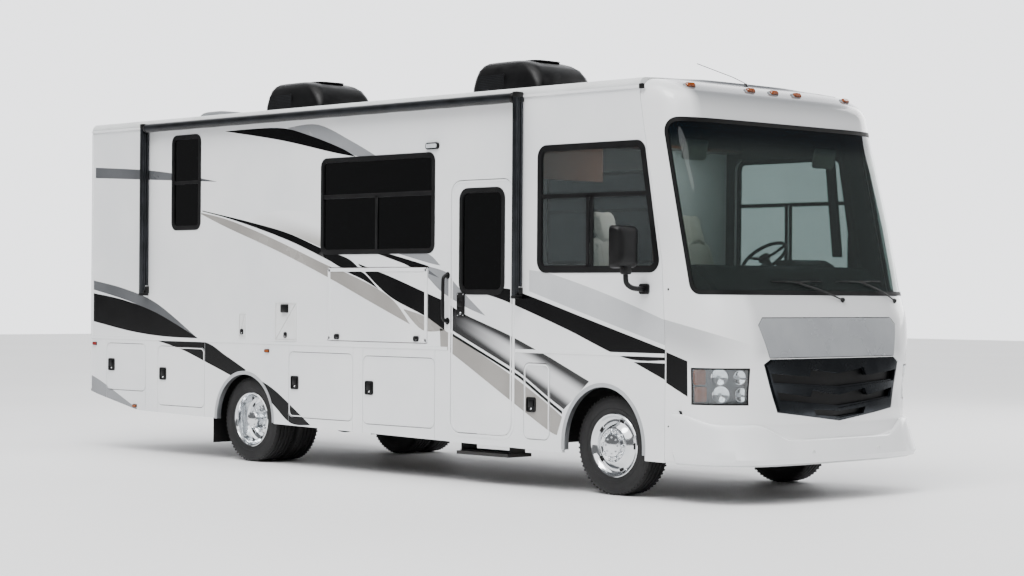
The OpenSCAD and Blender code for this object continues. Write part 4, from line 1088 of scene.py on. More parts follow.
# copies of a small mesh round a Y axis, or in a line, made with Geometry Nodes and turned into a plain mesh
def copies(layout, shape, name, count, spacing, centre, body, material):
    tree = bpy.data.node_groups.new(layout + "_" + name, "GeometryNodeTree")
    for label, kind, default in (("Count", "NodeSocketInt", 8), ("Radius", "NodeSocketFloat", 0.1),
            ("Offset", "NodeSocketVector", None), ("Centre", "NodeSocketVector", None),
            ("Part", "NodeSocketObject", None), ("Finish", "NodeSocketMaterial", None)):
        socket = tree.interface.new_socket(label, in_out="INPUT", socket_type=kind)
        if default is not None:
            socket.default_value = default
    tree.interface.new_socket("Geometry", in_out="OUTPUT", socket_type="NodeSocketGeometry")
    given = addNode(tree, "NodeGroupInput")
    part = addNode(tree, "GeometryNodeObjectInfo", {"Object": given.outputs["Part"]})
    if layout == "ring":
        ring = addNode(tree, "GeometryNodeMeshCircle", {"Vertices": given.outputs["Count"],
            "Radius": given.outputs["Radius"]})
        index = addNode(tree, "GeometryNodeInputIndex")
        share = addNode(tree, "ShaderNodeMath", {0: index.outputs["Index"], 1: given.outputs["Count"]},
            operation="DIVIDE")
        angle = addNode(tree, "ShaderNodeMath", {0: share.outputs["Value"], 1: 2 * pi}, operation="MULTIPLY")
        turn = addNode(tree, "ShaderNodeCombineXYZ", {"Z": angle.outputs["Value"]})
        spread = addNode(tree, "GeometryNodeInstanceOnPoints", {"Points": ring.outputs["Mesh"],
            "Instance": part.outputs["Geometry"], "Rotation": turn.outputs["Vector"]})
    else:
        line = addNode(tree, "GeometryNodeMeshLine", {"Count": given.outputs["Count"],
            "Offset": given.outputs["Offset"]})
        spread = addNode(tree, "GeometryNodeInstanceOnPoints", {"Points": line.outputs["Mesh"],
            "Instance": part.outputs["Geometry"]})
    upright = addNode(tree, "GeometryNodeTransform", {"Geometry": spread.outputs["Instances"],
        "Translation": given.outputs["Centre"], "Rotation": (pi / 2 if layout == "ring" else 0, 0, 0)})
    real = addNode(tree, "GeometryNodeRealizeInstances", {"Geometry": upright.outputs["Geometry"]})
    painted = addNode(tree, "GeometryNodeSetMaterial", {"Geometry": real.outputs["Geometry"],
        "Material": given.outputs["Finish"]})
    addNode(tree, "NodeGroupOutput", {"Geometry": painted.outputs["Geometry"]})
    source = objectFrom(shape, "part_source")
    carrier = objectFrom(bpy.data.meshes.new("carrier"), "carrier")
    step = carrier.modifiers.new("copies", "NODES")
    step.node_group = tree
    ids = {item.name: item.identifier for item in tree.interface.items_tree if item.in_out == "INPUT"}
    for socket, value in (("Count", count), ("Part", source), ("Finish", material),
            ("Centre", tuple(centre))):
        step[ids[socket]] = value
    if layout == "ring":
        step[ids["Radius"]] = spacing
    else:
        step[ids["Offset"]] = tuple(spacing)
    made = bpy.data.meshes.new_from_object(carrier.evaluated_get(bpy.context.evaluated_depsgraph_get()))
    bpy.data.objects.remove(carrier)
    bpy.data.objects.remove(source)
    return finishPiece(made, name, body, material)


# half the tyre's section from bead to bead, with grooves across the tread
def tyreProfile():
    r, deep, g = tyreR, wheelLook["grooveDeep"], wheelLook["grooveHalf"]
    side = [(wheelLook["beadR"] - 0.006, 0.080), (wheelLook["beadR"], 0.103), (0.262, 0.109), (0.275, 0.1085),
        (0.290, 0.113), (0.31, 0.118), (0.335, 0.1215), (0.352, 0.1222), (0.356, 0.1218), (0.372, 0.1208),
        (0.388, 0.117), (0.396, 0.111), (0.402, 0.102), (0.4065, 0.092)]
    tread = []
    for t in wheelLook["grooves"][::-1]:
        tread += [(r - 0.0005, t + g + 0.002), (r - 0.001, t + g), (r - deep, t + g * 0.7),
            (r - deep, t - g * 0.7), (r - 0.001, t - g), (r - 0.0005, t - g - 0.002)]
    crown = [(r - 0.0016, 0.08)] + tread + [(r - 0.0016, -0.08)]
    return side + crown + [(a, -b) for a, b in side[::-1]]


def makeTyre(name, body, x, y, nodesIn):
    bm = bmesh.new()
    addLathe(bm, tyreProfile(), (x, y, hubZ), (0, 1, 0), 128)
    made = finishPiece(bm, name, body, tyreRubber, angle=28)
    if nodesIn:
        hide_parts(nodesIn)
    block = bmesh.new()
    for end in (-1, 1):
        addBox(block, (-0.004, 0.0055), (-0.008, 0.008), (end * 0.098 - 0.017, end * 0.098 + 0.017), 0.002, 1)
    copies("ring", meshFrom(block, "block"), name + "_shoulder_blocks", wheelLook["shoulderBlocks"],
        tyreR - 0.0085, (x, y, hubZ), body, treadRubber)
    ribs = bmesh.new()
    for r, t in ((0.3, 0.1155), (0.304, 0.1165), (0.3655, 0.1214)):
        for end in (-1, 1):
            addTube(ribs, [(x + r * cos(a), y + end * t,
                hubZ + r * sin(a)) for a in [2 * pi * k / 96 for k in range(96)]], 0.0014, 6, closed=True)
    finishPiece(ribs, name + "_sidewall_ribs", body, tyreRubber)


# outer face of a wheel with a stainless liner: dished in front, deep behind, with hand holes and lug nuts
def makeRim(name, body, x, y, side, front, node):
    lip, bore = wheelLook["lipR"], wheelLook["beadR"]
    out = 0.118
    if front:
        face = [(lip, out - 0.014), (lip + 0.001, out - 0.006), (lip - 0.006, out),
            (lip - 0.016, out - 0.003), (0.236, out - 0.018), (0.226, out - 0.03), (0.214, out - 0.036),
            (0.196, out - 0.034), (0.178, out - 0.022), (0.162, out - 0.006), (0.148, out + 0.004),
            (0.138, out + 0.006), (0.13, out + 0.002), (0.122, out - 0.004), (0.105, out - 0.004),
            (0.098, out + 0.0), (0.094, out + 0.014), (0.09, out + 0.02), (0.07, out + 0.023),
            (0.05, out + 0.026), (0.03, out + 0.03), (0, out + 0.031)]
        holes, holeR, holeT, lugR, lugT = wheelLook["holes"][0], 0.205, out - 0.0345, 0.112, out - 0.004
    else:
        face = [(lip, out - 0.014), (lip + 0.001, out - 0.006), (lip - 0.006, out),
            (lip - 0.016, out - 0.003), (0.238, out - 0.016), (0.232, out - 0.05), (0.226, out - 0.09),
            (0.218, out - 0.12), (0.2, out - 0.136), (0.17, out - 0.142), (0.145, out - 0.13),
            (0.128, out - 0.125), (0.118, out - 0.122), (0.098, out - 0.12), (0.09, out - 0.1),
            (0.084, out - 0.045), (0.08, out - 0.02), (0.07, out - 0.01), (0.04, out - 0.004),
            (0.02, out - 0.001), (0, out)]
        holes, holeR, holeT, lugR, lugT = wheelLook["holes"][1], 0.19, out - 0.139, 0.111, out - 0.121
    bm = bmesh.new()
    addLathe(bm, face, (x, y, hubZ), (0, side, 0), 96)
    made = finishPiece(bm, name + "_liner", body, chrome, angle=24)
    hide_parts(node)
    bm = bmesh.new()
    barrel = [(lip, out - 0.014), (bore, out - 0.02), (bore - 0.004, out - 0.05), (bore - 0.016, 0.0),
        (bore - 0.004, 0.05 - out), (bore, 0.02 - out), (lip, 0.014 - out), (lip, 0.006 - out),
        (bore - 0.008, 0.012 - out), (bore - 0.028, 0.0), (0.225, out - 0.1), (bore - 0.012, out - 0.04),
        (lip - 0.008, out - 0.012)]
    addLathe(bm, barrel, (x, y, hubZ), (0, side, 0), 96, closed=True)
    finishPiece(bm, name + "_barrel", body, chrome, angle=24)
    slot = bmesh.new()
    w, h = (0.026, 0.014) if front else (0.024, 0.02)
    addPrism(slot, [(u, v) for v, u in roundedBox(-w, w, -h, h, 0.01)], "xy", -0.0022, 0.0022)
    centre = (x, y + side * holeT, hubZ)
    copies("ring", meshFrom(slot, "slot"), name + "_hand_holes", holes, holeR, centre, body, rubberSeal)
    rimEdge = bmesh.new()
    addTube(rimEdge, [(u, v, 0) for v, u in roundedBox(-w - 0.001, w + 0.001, -h - 0.001, h + 0.001, 0.011)],
        0.0026, 6, closed=True)
    copies("ring", meshFrom(rimEdge, "edge"), name + "_hand_hole_edges", holes, holeR, centre, body, chrome)
    nut = bmesh.new()
    addLathe(nut, [(0.0, 0.03), (0.008, 0.029), (0.0125, 0.024), (0.014, 0.018), (0.014, 0.004),
        (0.018, 0.001), (0.018, -0.003), (0, -0.003)], (0, 0, 0), (0, 0, -side), 12)
    lugs = wheelLook["lugs"][0 if front else 1]
    copies("ring", meshFrom(nut, "nut"), name + "_lug_nuts", lugs, lugR, (x, y + side * lugT, hubZ), body,
        chrome)
    bolt = bmesh.new()
    addLathe(bolt, [(0, 0.008), (0.006, 0.0075), (0.0075, 0.005), (0.0075, -0.002), (0, -0.002)], (0, 0, 0),
        (0, 0, -side), 6)
    copies("ring", meshFrom(bolt, "bolt"), name + "_hub_bolts", wheelLook["hubBolts"], 0.066,
        (x, y + side * (out + (0.0235 if front else -0.009)), hubZ), body, aluminiumSatin)


def makeWheels():
    for side, name in ((-1, "right"), (1, "left")):
        y = mid(f"front_tyre_{name}").y
        makeTyre(f"front_tyre_{name}_rubber", f"front_wheel_{name}", frontX - axleBack, y,
            f"front_tyre_{name}")
        makeRim(f"front_wheel_{name}", f"front_wheel_{name}", frontX - axleBack, y, side, True,
            f"front_rim_{name}")
        low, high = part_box(f"rear_tyres_{name}")
        outer = (low.y if side < 0 else high.y) - side * wheelLook["tyreHalf"]
        inner = (high.y if side < 0 else low.y) + side * wheelLook["tyreHalf"]
        makeTyre(f"rear_tyre_{name}_outer", f"rear_wheels_{name}", rearX - axleBack, outer,
            f"rear_tyres_{name}")
        makeTyre(f"rear_tyre_{name}_inner", f"rear_wheels_{name}", rearX - axleBack, inner, None)
        makeRim(f"rear_wheel_{name}", f"rear_wheels_{name}", rearX - axleBack, outer, side, False,
            f"rear_rims_{name}")
        bm = bmesh.new()
        addLathe(bm, [(0.243, 0.1), (0.236, 0.04), (0.232, -0.06), (0.225, -0.104), (0.2, -0.108),
            (0.12, -0.104), (0.11, -0.12), (0.07, -0.122), (0.068, -0.09), (0.1, -0.08), (0.12, -0.09),
            (0.2, -0.094), (0.217, -0.09), (0.224, -0.05), (0.229, 0.04), (0.236, 0.1)],
            (rearX - axleBack, inner, hubZ), (0, side, 0), 96, closed=True)
        finishPiece(bm, f"rear_wheel_{name}_inner_rim", f"rear_wheels_{name}", steelUndercoat)


makeWheels()
print("wheels made")

windowLook = {"outer": 0.012, "inner": 0.026, "proud": 0.005, "deep": 0.014, "bar": 0.022}


def cabOutline(grow):
    r = 0.09 + grow
    x0, z0, z1 = doorHigh.x + 0.31 - grow, floorTop + 0.69 - grow, floorTop + 1.734 + grow
    top, low = frontX + 0.384 + grow, frontX + 0.534 + grow
    corners = ((top - r, z1 - r, 0, 84), (x0 + r, z1 - r, 90, 180), (x0 + r, z0 + r, 180, 270),
        (low - r, z0 + r, 270, 366))
    return [(u + r * cos(radians(a0 + k * (a1 - a0) / 6)),
        w + r * sin(radians(a0 + k * (a1 - a0) / 6))) for u, w, a0, a1 in corners for k in range(7)]


def boxOutline(x0, x1, z0, z1, radius):
    return lambda grow: roundedBox(x0, x1, z0, z1, radius, grow)


# a two-step black frame clamped round the glass, with its dividing bars: (x0, x1, z0, z1)
def windowFrame(name, body, side, face, outline, bars, material=None, wide=0.026):
    bm = bmesh.new()
    look = windowLook
    for outer, inner, proud in ((look["outer"], -wide, look["proud"]), (-0.004, -wide - 0.008,
            look["proud"] * 0.4)):
        ends = sorted((side * (face + proud), side * (face - look["deep"])))
        addFrame(bm, outline(outer), outline(inner), "xz", *ends)
    for x0, x1, z0, z1 in bars:
        addBox(bm, (x0, x1), sorted((side * (face + 0.0025), side * (face - look["deep"]))), (z0, z1), 0.0015,
            1)
    return finishPiece(bm, name, body, material or absBlack, angle=40)


# one float glass for all side windows: near-black privacy tint behind, light tint at the cab
def sideGlass():
    made, tree, shader, where = newMaterial("floatGlassSide", "#101315", 0.02, IOR=1.45,
        Transmission_Weight=0.95)
    along = addNode(tree, "ShaderNodeSeparateXYZ", {"Vector": where}).outputs["X"]
    ahead = addNode(tree, "ShaderNodeMath", {0: along, 1: doorHigh.x + 0.15},
        operation="GREATER_THAN").outputs["Value"]
    tint = addNode(tree, "ShaderNodeMixRGB", {"Fac": ahead, "Color1": hexColour("#0c0f11"),
        "Color2": hexColour("#b4bdbd")})
    tree.links.new(tint.outputs["Color"], shader.inputs["Base Color"])
    grained(tree, shader, where, 300, 0.02)
    return made


sideWindowGlass = sideGlass()


def makeWindows():
    z0, z1 = floorTop + 0.866, roofTop - 0.516
    split = z0 + 0.6 * (z1 - z0)
    midX = rearX + 1.9075
    windowFrame("galley_window_frame", "coach", -1, halfW, boxOutline(rearX + 1.125, rearX + 2.69, z0, z1,
        0.07), ((rearX + 1.14, rearX + 2.675, split - 0.02, split + 0.02), (midX - 0.016, midX + 0.016,
        z0 + 0.01, split)))
    b0, b1 = roofTop - 1.123, roofTop - 0.194
    windowFrame("bed_window_frame", "coach", -1, halfW, boxOutline(rearX - 1.253, rearX - 0.783, b0, b1,
        0.07), ((rearX - 1.24, rearX - 0.796, (b0 + b1) / 2 - 0.017, (b0 + b1) / 2 + 0.017),))
    windowFrame("bed_window_frame_left", "coach", 1, halfW, boxOutline(rearX - 1.5, rearX - 0.7,
        floorTop + 0.9, roofTop - 0.5, 0.07), ((rearX - 1.49, rearX - 0.71, 2.5, 2.53),
        (rearX - 1.11, rearX - 1.08, floorTop + 0.91, 2.5)))
    for side, name in ((-1, "right"), (1, "left")):
        c0, c1 = floorTop + 0.69, floorTop + 1.734
        bar = c0 + 0.60 * (c1 - c0)
        mx = doorHigh.x + 0.31 + 0.62
        windowFrame(f"cab_window_frame_{name}", "coach", side, halfW, cabOutline,
            ((doorHigh.x + 0.32, frontX + 0.44, bar - 0.018, bar + 0.018), (mx - 0.016, mx + 0.016, c0 + 0.01,
            bar), (doorHigh.x + 0.335, mx, c0 + 0.034, c0 + 0.05), (mx - 0.062, mx - 0.03, c0 + 0.03, bar)),
            wide=0.036)
    windowFrame("entry_door_window_frame", "entry_door", -1, halfW, boxOutline(doorLow.x + 0.11,
        doorHigh.x - 0.106, floorTop + 0.504, doorHigh.z - 0.076, 0.09), ())
    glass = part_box("slide_out_glass")
    windowFrame("slide_window_frame", "slide_out", 1, slideHigh.y, boxOutline(glass[0].x, glass[1].x,
        glass[0].z, glass[1].z, 0.07), ((glass[0].x + 0.01, glass[1].x - 0.01, 2.44, 2.475),
        ((glass[0].x + glass[1].x) / 2 - 0.016, (glass[0].x + glass[1].x) / 2 + 0.016, glass[0].z + 0.01,
        2.45)))
    for node in ("side_windows", "entry_door_glass", "slide_out_glass"):
        nodes[node].data.materials.clear()
        nodes[node].data.materials.append(sideWindowGlass)


makeWindows()
print("windows made")

doorLook = {"latchWide": 0.112, "latchHigh": 0.126}
bayNodes = {f"bay_door_right_{i}": -1 for i in (1, 2, 3,
    4)} | {"utility_door": -1} | {f"bay_door_left_{i}": 1 for i in (1, 2, 3)}


# a paddle latch: cup, lifted paddle and lock barrel
def addPaddle(bm, metal, x, z, side, face, w=doorLook["latchWide"], h=doorLook["latchHigh"]):
    y = lambda out: side * (face + out)
    addFrame(bm, roundedBox(x - w / 2, x + w / 2, z - h / 2, z + h / 2, 0.018), roundedBox(x - w / 2 + 0.011,
        x + w / 2 - 0.011, z - h / 2 + 0.011, z + h / 2 - 0.011, 0.010), "xz", *sorted((y(0.001), y(0.010))))
    addPrism(bm, roundedBox(x - w / 2 + 0.006, x + w / 2 - 0.006, z - h / 2 + 0.006, z + h / 2 - 0.006,
        0.012), "xz", *sorted((y(0.0005), y(0.003))))
    addBox(bm, (x - w * 0.27, x + w * 0.27), sorted((y(0.002), y(0.011))), (z - h * 0.16, z + h * 0.34),
        0.003, 2)
    addLathe(metal, [(0, 0.009), (0.007, 0.0085), (0.009, 0.006), (0.009, 0.001), (0, 0.001)],
        (x, side * face, z - h * 0.28), (0, side, 0), 20)


def makeDoors():
    for node, side in bayNodes.items():
        low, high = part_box(node)
        bm, metal = bmesh.new(), bmesh.new()
        x = low.x + 0.09
        z = (low.z + high.z) / 2 + (0.02 if high.x - low.x > 0.4 else -0.03)
        addPaddle(bm, metal, x, z, side, halfW)
        if high.x - low.x > 1.2:
            addPaddle(bm, metal, high.x - 0.3, z, side, halfW)
        finishPiece(bm, node + "_latch", node, absBlack)
        finishPiece(metal, node + "_lock", node, chrome)
        edge = bmesh.new()
        addFrame(edge, roundedBox(low.x, high.x, low.z, high.z, 0.06, -0.006), roundedBox(low.x, high.x,
            low.z, high.z, 0.06, -0.016), "xz", *sorted((side * (halfW - 0.001), side * (halfW + 0.0022))))
        finishPiece(edge, node + "_edge_bead", node, gelcoatWhite)
        seal = bmesh.new()
        addFrame(seal, roundedBox(low.x, high.x, low.z, high.z, 0.06, 0.0035), roundedBox(low.x, high.x,
            low.z, high.z, 0.06, 0.0005), "xz", *sorted((side * (halfW - 0.03), side * (halfW - 0.012))))
        finishPiece(seal, node + "_seal", node, rubberSeal)
    low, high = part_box("galley_door")
    bm = bmesh.new()
    addFrame(bm, roundedBox(low.x, high.x, low.z, high.z, 0.012, -0.002), roundedBox(low.x, high.x, low.z,
        high.z, 0.012, -0.034), "xz", -halfW - 0.006, -halfW + 0.001)
    finishPiece(bm, "galley_door_raised_frame", "galley_door", gelcoatWhite)
    bm, metal = bmesh.new(), bmesh.new()
    for x in (low.x + 0.14, high.x - 0.14):
        addPaddle(bm, metal, x, low.z + 0.035, -1, halfW + 0.005, 0.07, 0.05)
    finishPiece(bm, "galley_door_latches", "galley_door", absBlack)
    finishPiece(metal, "galley_door_locks", "galley_door", chrome)
    # entry door: hinge-side and lock-side mouldings, latch plate, dead bolt and screws
    x0, x1, z0, z1 = doorLow.x, doorHigh.x, doorLow.z, doorHigh.z
    bm = bmesh.new()
    addFrame(bm, roundedBox(x0, x1, z0, z1, 0.11, -0.006), roundedBox(x0, x1, z0, z1, 0.11, -0.02), "xz",
        -halfW - 0.003, -halfW + 0.001)
    finishPiece(bm, "entry_door_bead", "entry_door", gelcoatWhite)
    bm = bmesh.new()
    addFrame(bm, roundedBox(x0, x1, z0, z1, 0.11, 0.034), roundedBox(x0, x1, z0, z1, 0.11, 0.0075), "xz",
        -halfW - 0.004, -halfW - 0.0002)
    finishPiece(bm, "entry_door_surround", "coach", gelcoatWhite)
    bm, metal = bmesh.new(), bmesh.new()
    lx, lz = x0 + 0.128, 1.545
    addPrism(bm, roundedBox(lx - 0.046, lx + 0.046, lz - 0.105, lz + 0.105, 0.012), "xz", -halfW - 0.012,
        -halfW - 0.0005)
    addFrame(bm, roundedBox(lx - 0.037, lx + 0.037, lz - 0.05, lz + 0.07, 0.012),
        roundedBox(lx - 0.028, lx + 0.028, lz - 0.04, lz + 0.06, 0.01), "xz", -halfW - 0.017, -halfW - 0.01)
    addBox(bm, (lx - 0.026, lx + 0.026), (-halfW - 0.019, -halfW - 0.01), (lz - 0.018, lz + 0.034), 0.005, 3)
    for z in (lz - 0.092, lz + 0.092):
        for x in (lx - 0.034, lx + 0.034):
            addLathe(metal, [(0, 0.0035), (0.004, 0.003), (0.0055, 0.0), (0, 0.0)], (x, -halfW - 0.012, z),
                (0, -1, 0), 12)
    addLathe(metal, [(0, 0.006), (0.009, 0.006), (0.012, 0.003), (0.012, 0.0), (0, 0.0)],
        (lx, -halfW - 0.0125, lz - 0.074), (0, -1, 0), 24)
    finishPiece(bm, "entry_door_latch_plate", "entry_door", absBlack)
    finishPiece(metal, "entry_door_lock_and_screws", "entry_door", chrome)
    bm = bmesh.new()
    gx = x0 - 0.045
    grab = [(gx, -halfW + 0.002, 1.40), (gx, -halfW - 0.03, 1.402), (gx, -halfW - 0.055, 1.425),
        (gx, -halfW - 0.06, 1.47), (gx, -halfW - 0.062, 1.60), (gx, -halfW - 0.06, 1.73),
        (gx, -halfW - 0.055, 1.775), (gx, -halfW - 0.03, 1.798), (gx, -halfW + 0.002, 1.80)]
    addTube(bm, smoothLine(grab, 5), 0.0155, 16)
    for z in (1.40, 1.80):
        addLathe(bm, [(0.0, 0.012), (0.02, 0.012), (0.029, 0.008), (0.032, 0.0), (0, 0.0)], (gx, -halfW, z),
            (0, -1, 0), 28)
    finishPiece(bm, "entry_grab_handle", "coach", absBlack)
    # porch light over the door
    bm, lens = bmesh.new(), bmesh.new()
    px, pz = x0 - 0.252, 2.94
    addPrism(bm, roundedBox(px - 0.085, px + 0.085, pz - 0.03, pz + 0.03, 0.028), "xz", -halfW - 0.02,
        -halfW + 0.001)
    addPrism(lens, roundedBox(px - 0.068, px + 0.068, pz - 0.018, pz + 0.018, 0.016), "xz", -halfW - 0.028,
        -halfW - 0.018)
    finishPiece(bm, "porch_light_body", "coach", absBlack)
    finishPiece(lens, "porch_light_lens", "coach", clearLens)


# small service hatches, each a framed door with a latch; (x0, x1, z0, z1, side)
def makeHatches():
    frames, doors, trims = bmesh.new(), bmesh.new(), bmesh.new()
    for x0, x1, z0, z1, side in ((-1.87, -1.76, 1.20, 1.44, -1), (-1.30, -0.97, 1.18, 1.55, -1),
            (-2.9, -2.6, 1.28, 1.6, 1), (-3.9, -3.45, 1.3, 1.75, 1), (2.25, 2.5, 1.25, 1.45, 1)):
        y = lambda out: side * (halfW + out)
        addFrame(frames, roundedBox(x0, x1, z0, z1, 0.014), roundedBox(x0, x1, z0, z1, 0.014, -0.014), "xz",
            *sorted((y(0.006), y(0.0))))
        addPrism(doors, roundedBox(x0, x1, z0, z1, 0.014, -0.0165), "xz", *sorted((y(0.0045), y(0.0))))
        addPaddle(trims, doors, (x0 + x1) / 2, z0 + 0.06, side, halfW + 0.0035, 0.045, 0.055)
    finishPiece(frames, "hatch_frames", "coach", absWhite)
    finishPiece(doors, "hatch_doors", "coach", absWhite)
    finishPiece(trims, "hatch_latches", "coach", absBlack)
    cover = bmesh.new()
    addBox(cover, (-1.19, -1.09), (-halfW - 0.028, -halfW - 0.004), (1.45, 1.53), 0.008, 3)
    addBox(cover, (-1.183, -1.097), (-halfW - 0.034, -halfW - 0.026), (1.457, 1.523), 0.003, 2)
    finishPiece(cover, "outlet_cover", "coach", absBlack)


def makeMarkers():
    for name, material, spots in (("amber_side_markers", amberLens, ((-1.421, 1.083, -1, halfW),
            (3.30, 1.115, 1, halfW), (-1.421, 1.083, 1, halfW))), ("red_side_markers", redLens,
            ((-4.359, 1.095, -1, halfW), (-4.359, 1.095, 1, halfW))), ("low_amber_markers", amberLens,
            ((-3.62, 0.47, -1, halfW), (-3.62, 0.47, 1, halfW)))):
        lens, base = bmesh.new(), bmesh.new()
        for x, z, side, face in spots:
            y = lambda out: side * (face + out)
            addPrism(base, roundedBox(x - 0.034, x + 0.034, z - 0.017, z + 0.017, 0.006), "xz",
                *sorted((y(0.006), y(0.0))))
            addPrism(lens, roundedBox(x - 0.029, x + 0.029, z - 0.0125, z + 0.0125, 0.005), "xz",
                *sorted((y(0.017), y(0.004))))
            for k in range(-4, 5):
                addTube(lens, [(x + k * 0.006, y(0.0165), z - 0.010), (x + k * 0.006, y(0.0165), z + 0.010)],
                    0.0012, 6)
        finishPiece(base, name + "_base", "coach", absBlack)
        finishPiece(lens, name, "coach", material)
    lens, base = bmesh.new(), bmesh.new()
    for y in (-1.0, -0.3, 0.0, 0.3, 1.0):
        z = 3.318
        spot = capAt(y, z)
        turn = facing(spot, Vector((0.75, y * 0.1, 0.66)))
        for sketch, w, d, h0, h1 in ((base, 0.058, 0.026, -0.01, 0.010), (lens, 0.048, 0.019, 0.008, 0.026)):
            part = bmesh.new()
            top = roundedBox(-w * 0.8, w * 0.8, -d * 0.7, d * 0.7, 0.008)
            low = roundedBox(-w, w, -d, d, 0.011)
            rings = [[part.verts.new((u, v, h)) for u, v in line] for line, h in ((low, h0),
                (low, (h0 + h1) / 2), (top, h1))]
            for a, b in zip(rings, rings[1:]):
                for i in range(len(a)):
                    j = (i + 1) % len(a)
                    part.faces.new((a[i], a[j], b[j], b[i]))
            part.faces.new(rings[0][::-1])
            part.faces.new(rings[-1])
            bmesh.ops.transform(part, matrix=turn, verts=part.verts)
            addInto(sketch, part)
    finishPiece(base, "brow_lights_base", "coach", absGrey)
    finishPiece(lens, "brow_lights_lens", "coach", amberLens)


# satin lips round the wheel arches, mud flaps behind them
def makeArchLips():
    lips, flaps = bmesh.new(), bmesh.new()
    for side in (-1, 1):
        for x, a, b in ((frontX - 0.064, 0.468, 0.508), (rearX - 0.045, 0.468, 0.468)):
            lowZ = 0.355 if x > 0 else 0.40
            angles = [radians(d) for d in range(0, 181, 4)]
            outer = [(x + (a + 0.004) * cos(t), hubZ + (b + 0.004) * sin(t)) for t in angles]
            inner = [(x + (a - 0.03) * cos(t), hubZ + (b - 0.03) * sin(t)) for t in angles]
            outer = [(x + a + 0.004, lowZ), *outer, (x - a - 0.004, lowZ)]
            inner = [(x + a - 0.03, lowZ), *inner, (x - a + 0.03, lowZ)]
            y = lambda out: side * (halfW + out)
            rings = [[lips.verts.new((u, y(out), w)) for u, w in line] for line,
                out in ((outer, 0.004), (inner, 0.0005), (inner, -0.05), (outer, -0.0402), (outer, 0.0))]
            for p, q in zip(rings, rings[1:] + rings[:1]):
                for i in range(len(p) - 1):
                    lips.faces.new((p[i], p[i + 1], q[i + 1], q[i]))
            for end in (0, -1):
                lips.faces.new([ring[end] for ring in rings])
    for side in (-1, 1):
        x = rearX - 0.60
        ys = sorted((side * 0.80, side * 1.235))
        addBox(flaps, (x - 0.005, x + 0.005), ys, (0.16, 0.62), 0.003, 2)
        addBox(flaps, (x - 0.012, x + 0.012), (ys[0] + 0.005, ys[1] - 0.005), (0.60, 0.64), 0.003, 1)
    finishPiece(lips, "wheel_arch_lips", "coach", aluminiumSatin, angle=40)
    finishPiece(flaps, "mud_flaps", "coach", rubberSeal)


def makeAwning():
    low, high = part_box("awning_roller")
    y, z, r = (low.y + high.y) / 2, (low.z + high.z) / 2, (high.z - low.z) / 2
    roll = bmesh.new()
    profile = [(0, 0.03)] + [(r - 0.006 + 0.0012 * sin(k * 1.7),
        0.03 + k * (high.x - low.x - 0.06) / 40) for k in range(41)] \
        + [(0, high.x - low.x - 0.03)]
    addLathe(roll, profile, (low.x, y, z), (1, 0, 0), 40)
    made = finishPiece(roll, "awning_canvas_roll", "coach", awningCanvas)
    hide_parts("awning_roller")
    cover, caps = bmesh.new(), bmesh.new()
    shell = [(y + (r - 0.001) * cos(t), z + (r - 0.001) * sin(t)) for t in [radians(d) for d in range(20, 201,
        10)]]
    inner = [(y + (r - 0.004) * cos(t), z + (r - 0.004) * sin(t)) for t in [radians(d) for d in range(200, 19,
        -10)]]
    addPrism(cover, shell + inner, "yz", low.x + 0.012, high.x - 0.012)
    finishPiece(cover, "awning_cover", "coach", aluminiumDark)
    for x, s in ((low.x, 1), (high.x, -1)):
        addLathe(caps, [(0, 0.0), (r * 0.5, 0.0), (r * 0.9, 0.003), (r, 0.012), (r, 0.03), (r * 0.9, 0.034),
            (0, 0.034)], (x, y, z), (s, 0, 0), 40)
    finishPiece(caps, "awning_end_caps", "coach", absBlack)
    arms = bmesh.new()
    feet = bmesh.new()
    aLow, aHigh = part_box("awning_arms")
    for x in (low.x - 0.029, high.x + 0.029):
        for k, (inset, y0, y1) in enumerate(((0.006, -halfW - 0.098, -halfW - 0.074),
                (0.010, -halfW - 0.068, -halfW - 0.046), (0.006, -halfW - 0.040, -halfW - 0.014))):
            addBox(arms, (x - 0.029 + inset, x + 0.029 - inset), (y0, y1), (aLow.z + 0.004 + 0.05 * k,
                aHigh.z - 0.02), 0.004, 2)
        addBox(feet, (x - 0.021, x + 0.021), (-halfW - 0.05, -halfW + 0.0), (1.625, 1.695), 0.004, 2)
        addBox(feet, (x - 0.021, x + 0.021), (-halfW - 0.05, -halfW + 0.0), (aHigh.z - 0.085,
            aHigh.z - 0.012), 0.004, 2)
        addBox(feet, (x - 0.028, x + 0.028), (-halfW - 0.099, -halfW - 0.013), (aLow.z, aLow.z + 0.03), 0.006,
            2)
        addBox(feet, (x - 0.028, x + 0.028), (-halfW - 0.099, -halfW - 0.013), (aHigh.z - 0.05, aHigh.z),
            0.010, 3)
        addLathe(feet, [(0, 0.028), (0.012, 0.026), (0.014, 0.018), (0.012, 0.004), (0.016, 0), (0, 0)],
            (x - 0.027, -halfW - 0.056, 2.1), (-1, 0, 0), 20)
    made = finishPiece(arms, "awning_arm_rails", "coach", aluminiumDark)
    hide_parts("awning_arms")
    finishPiece(feet, "awning_arm_brackets", "coach", absBlack)


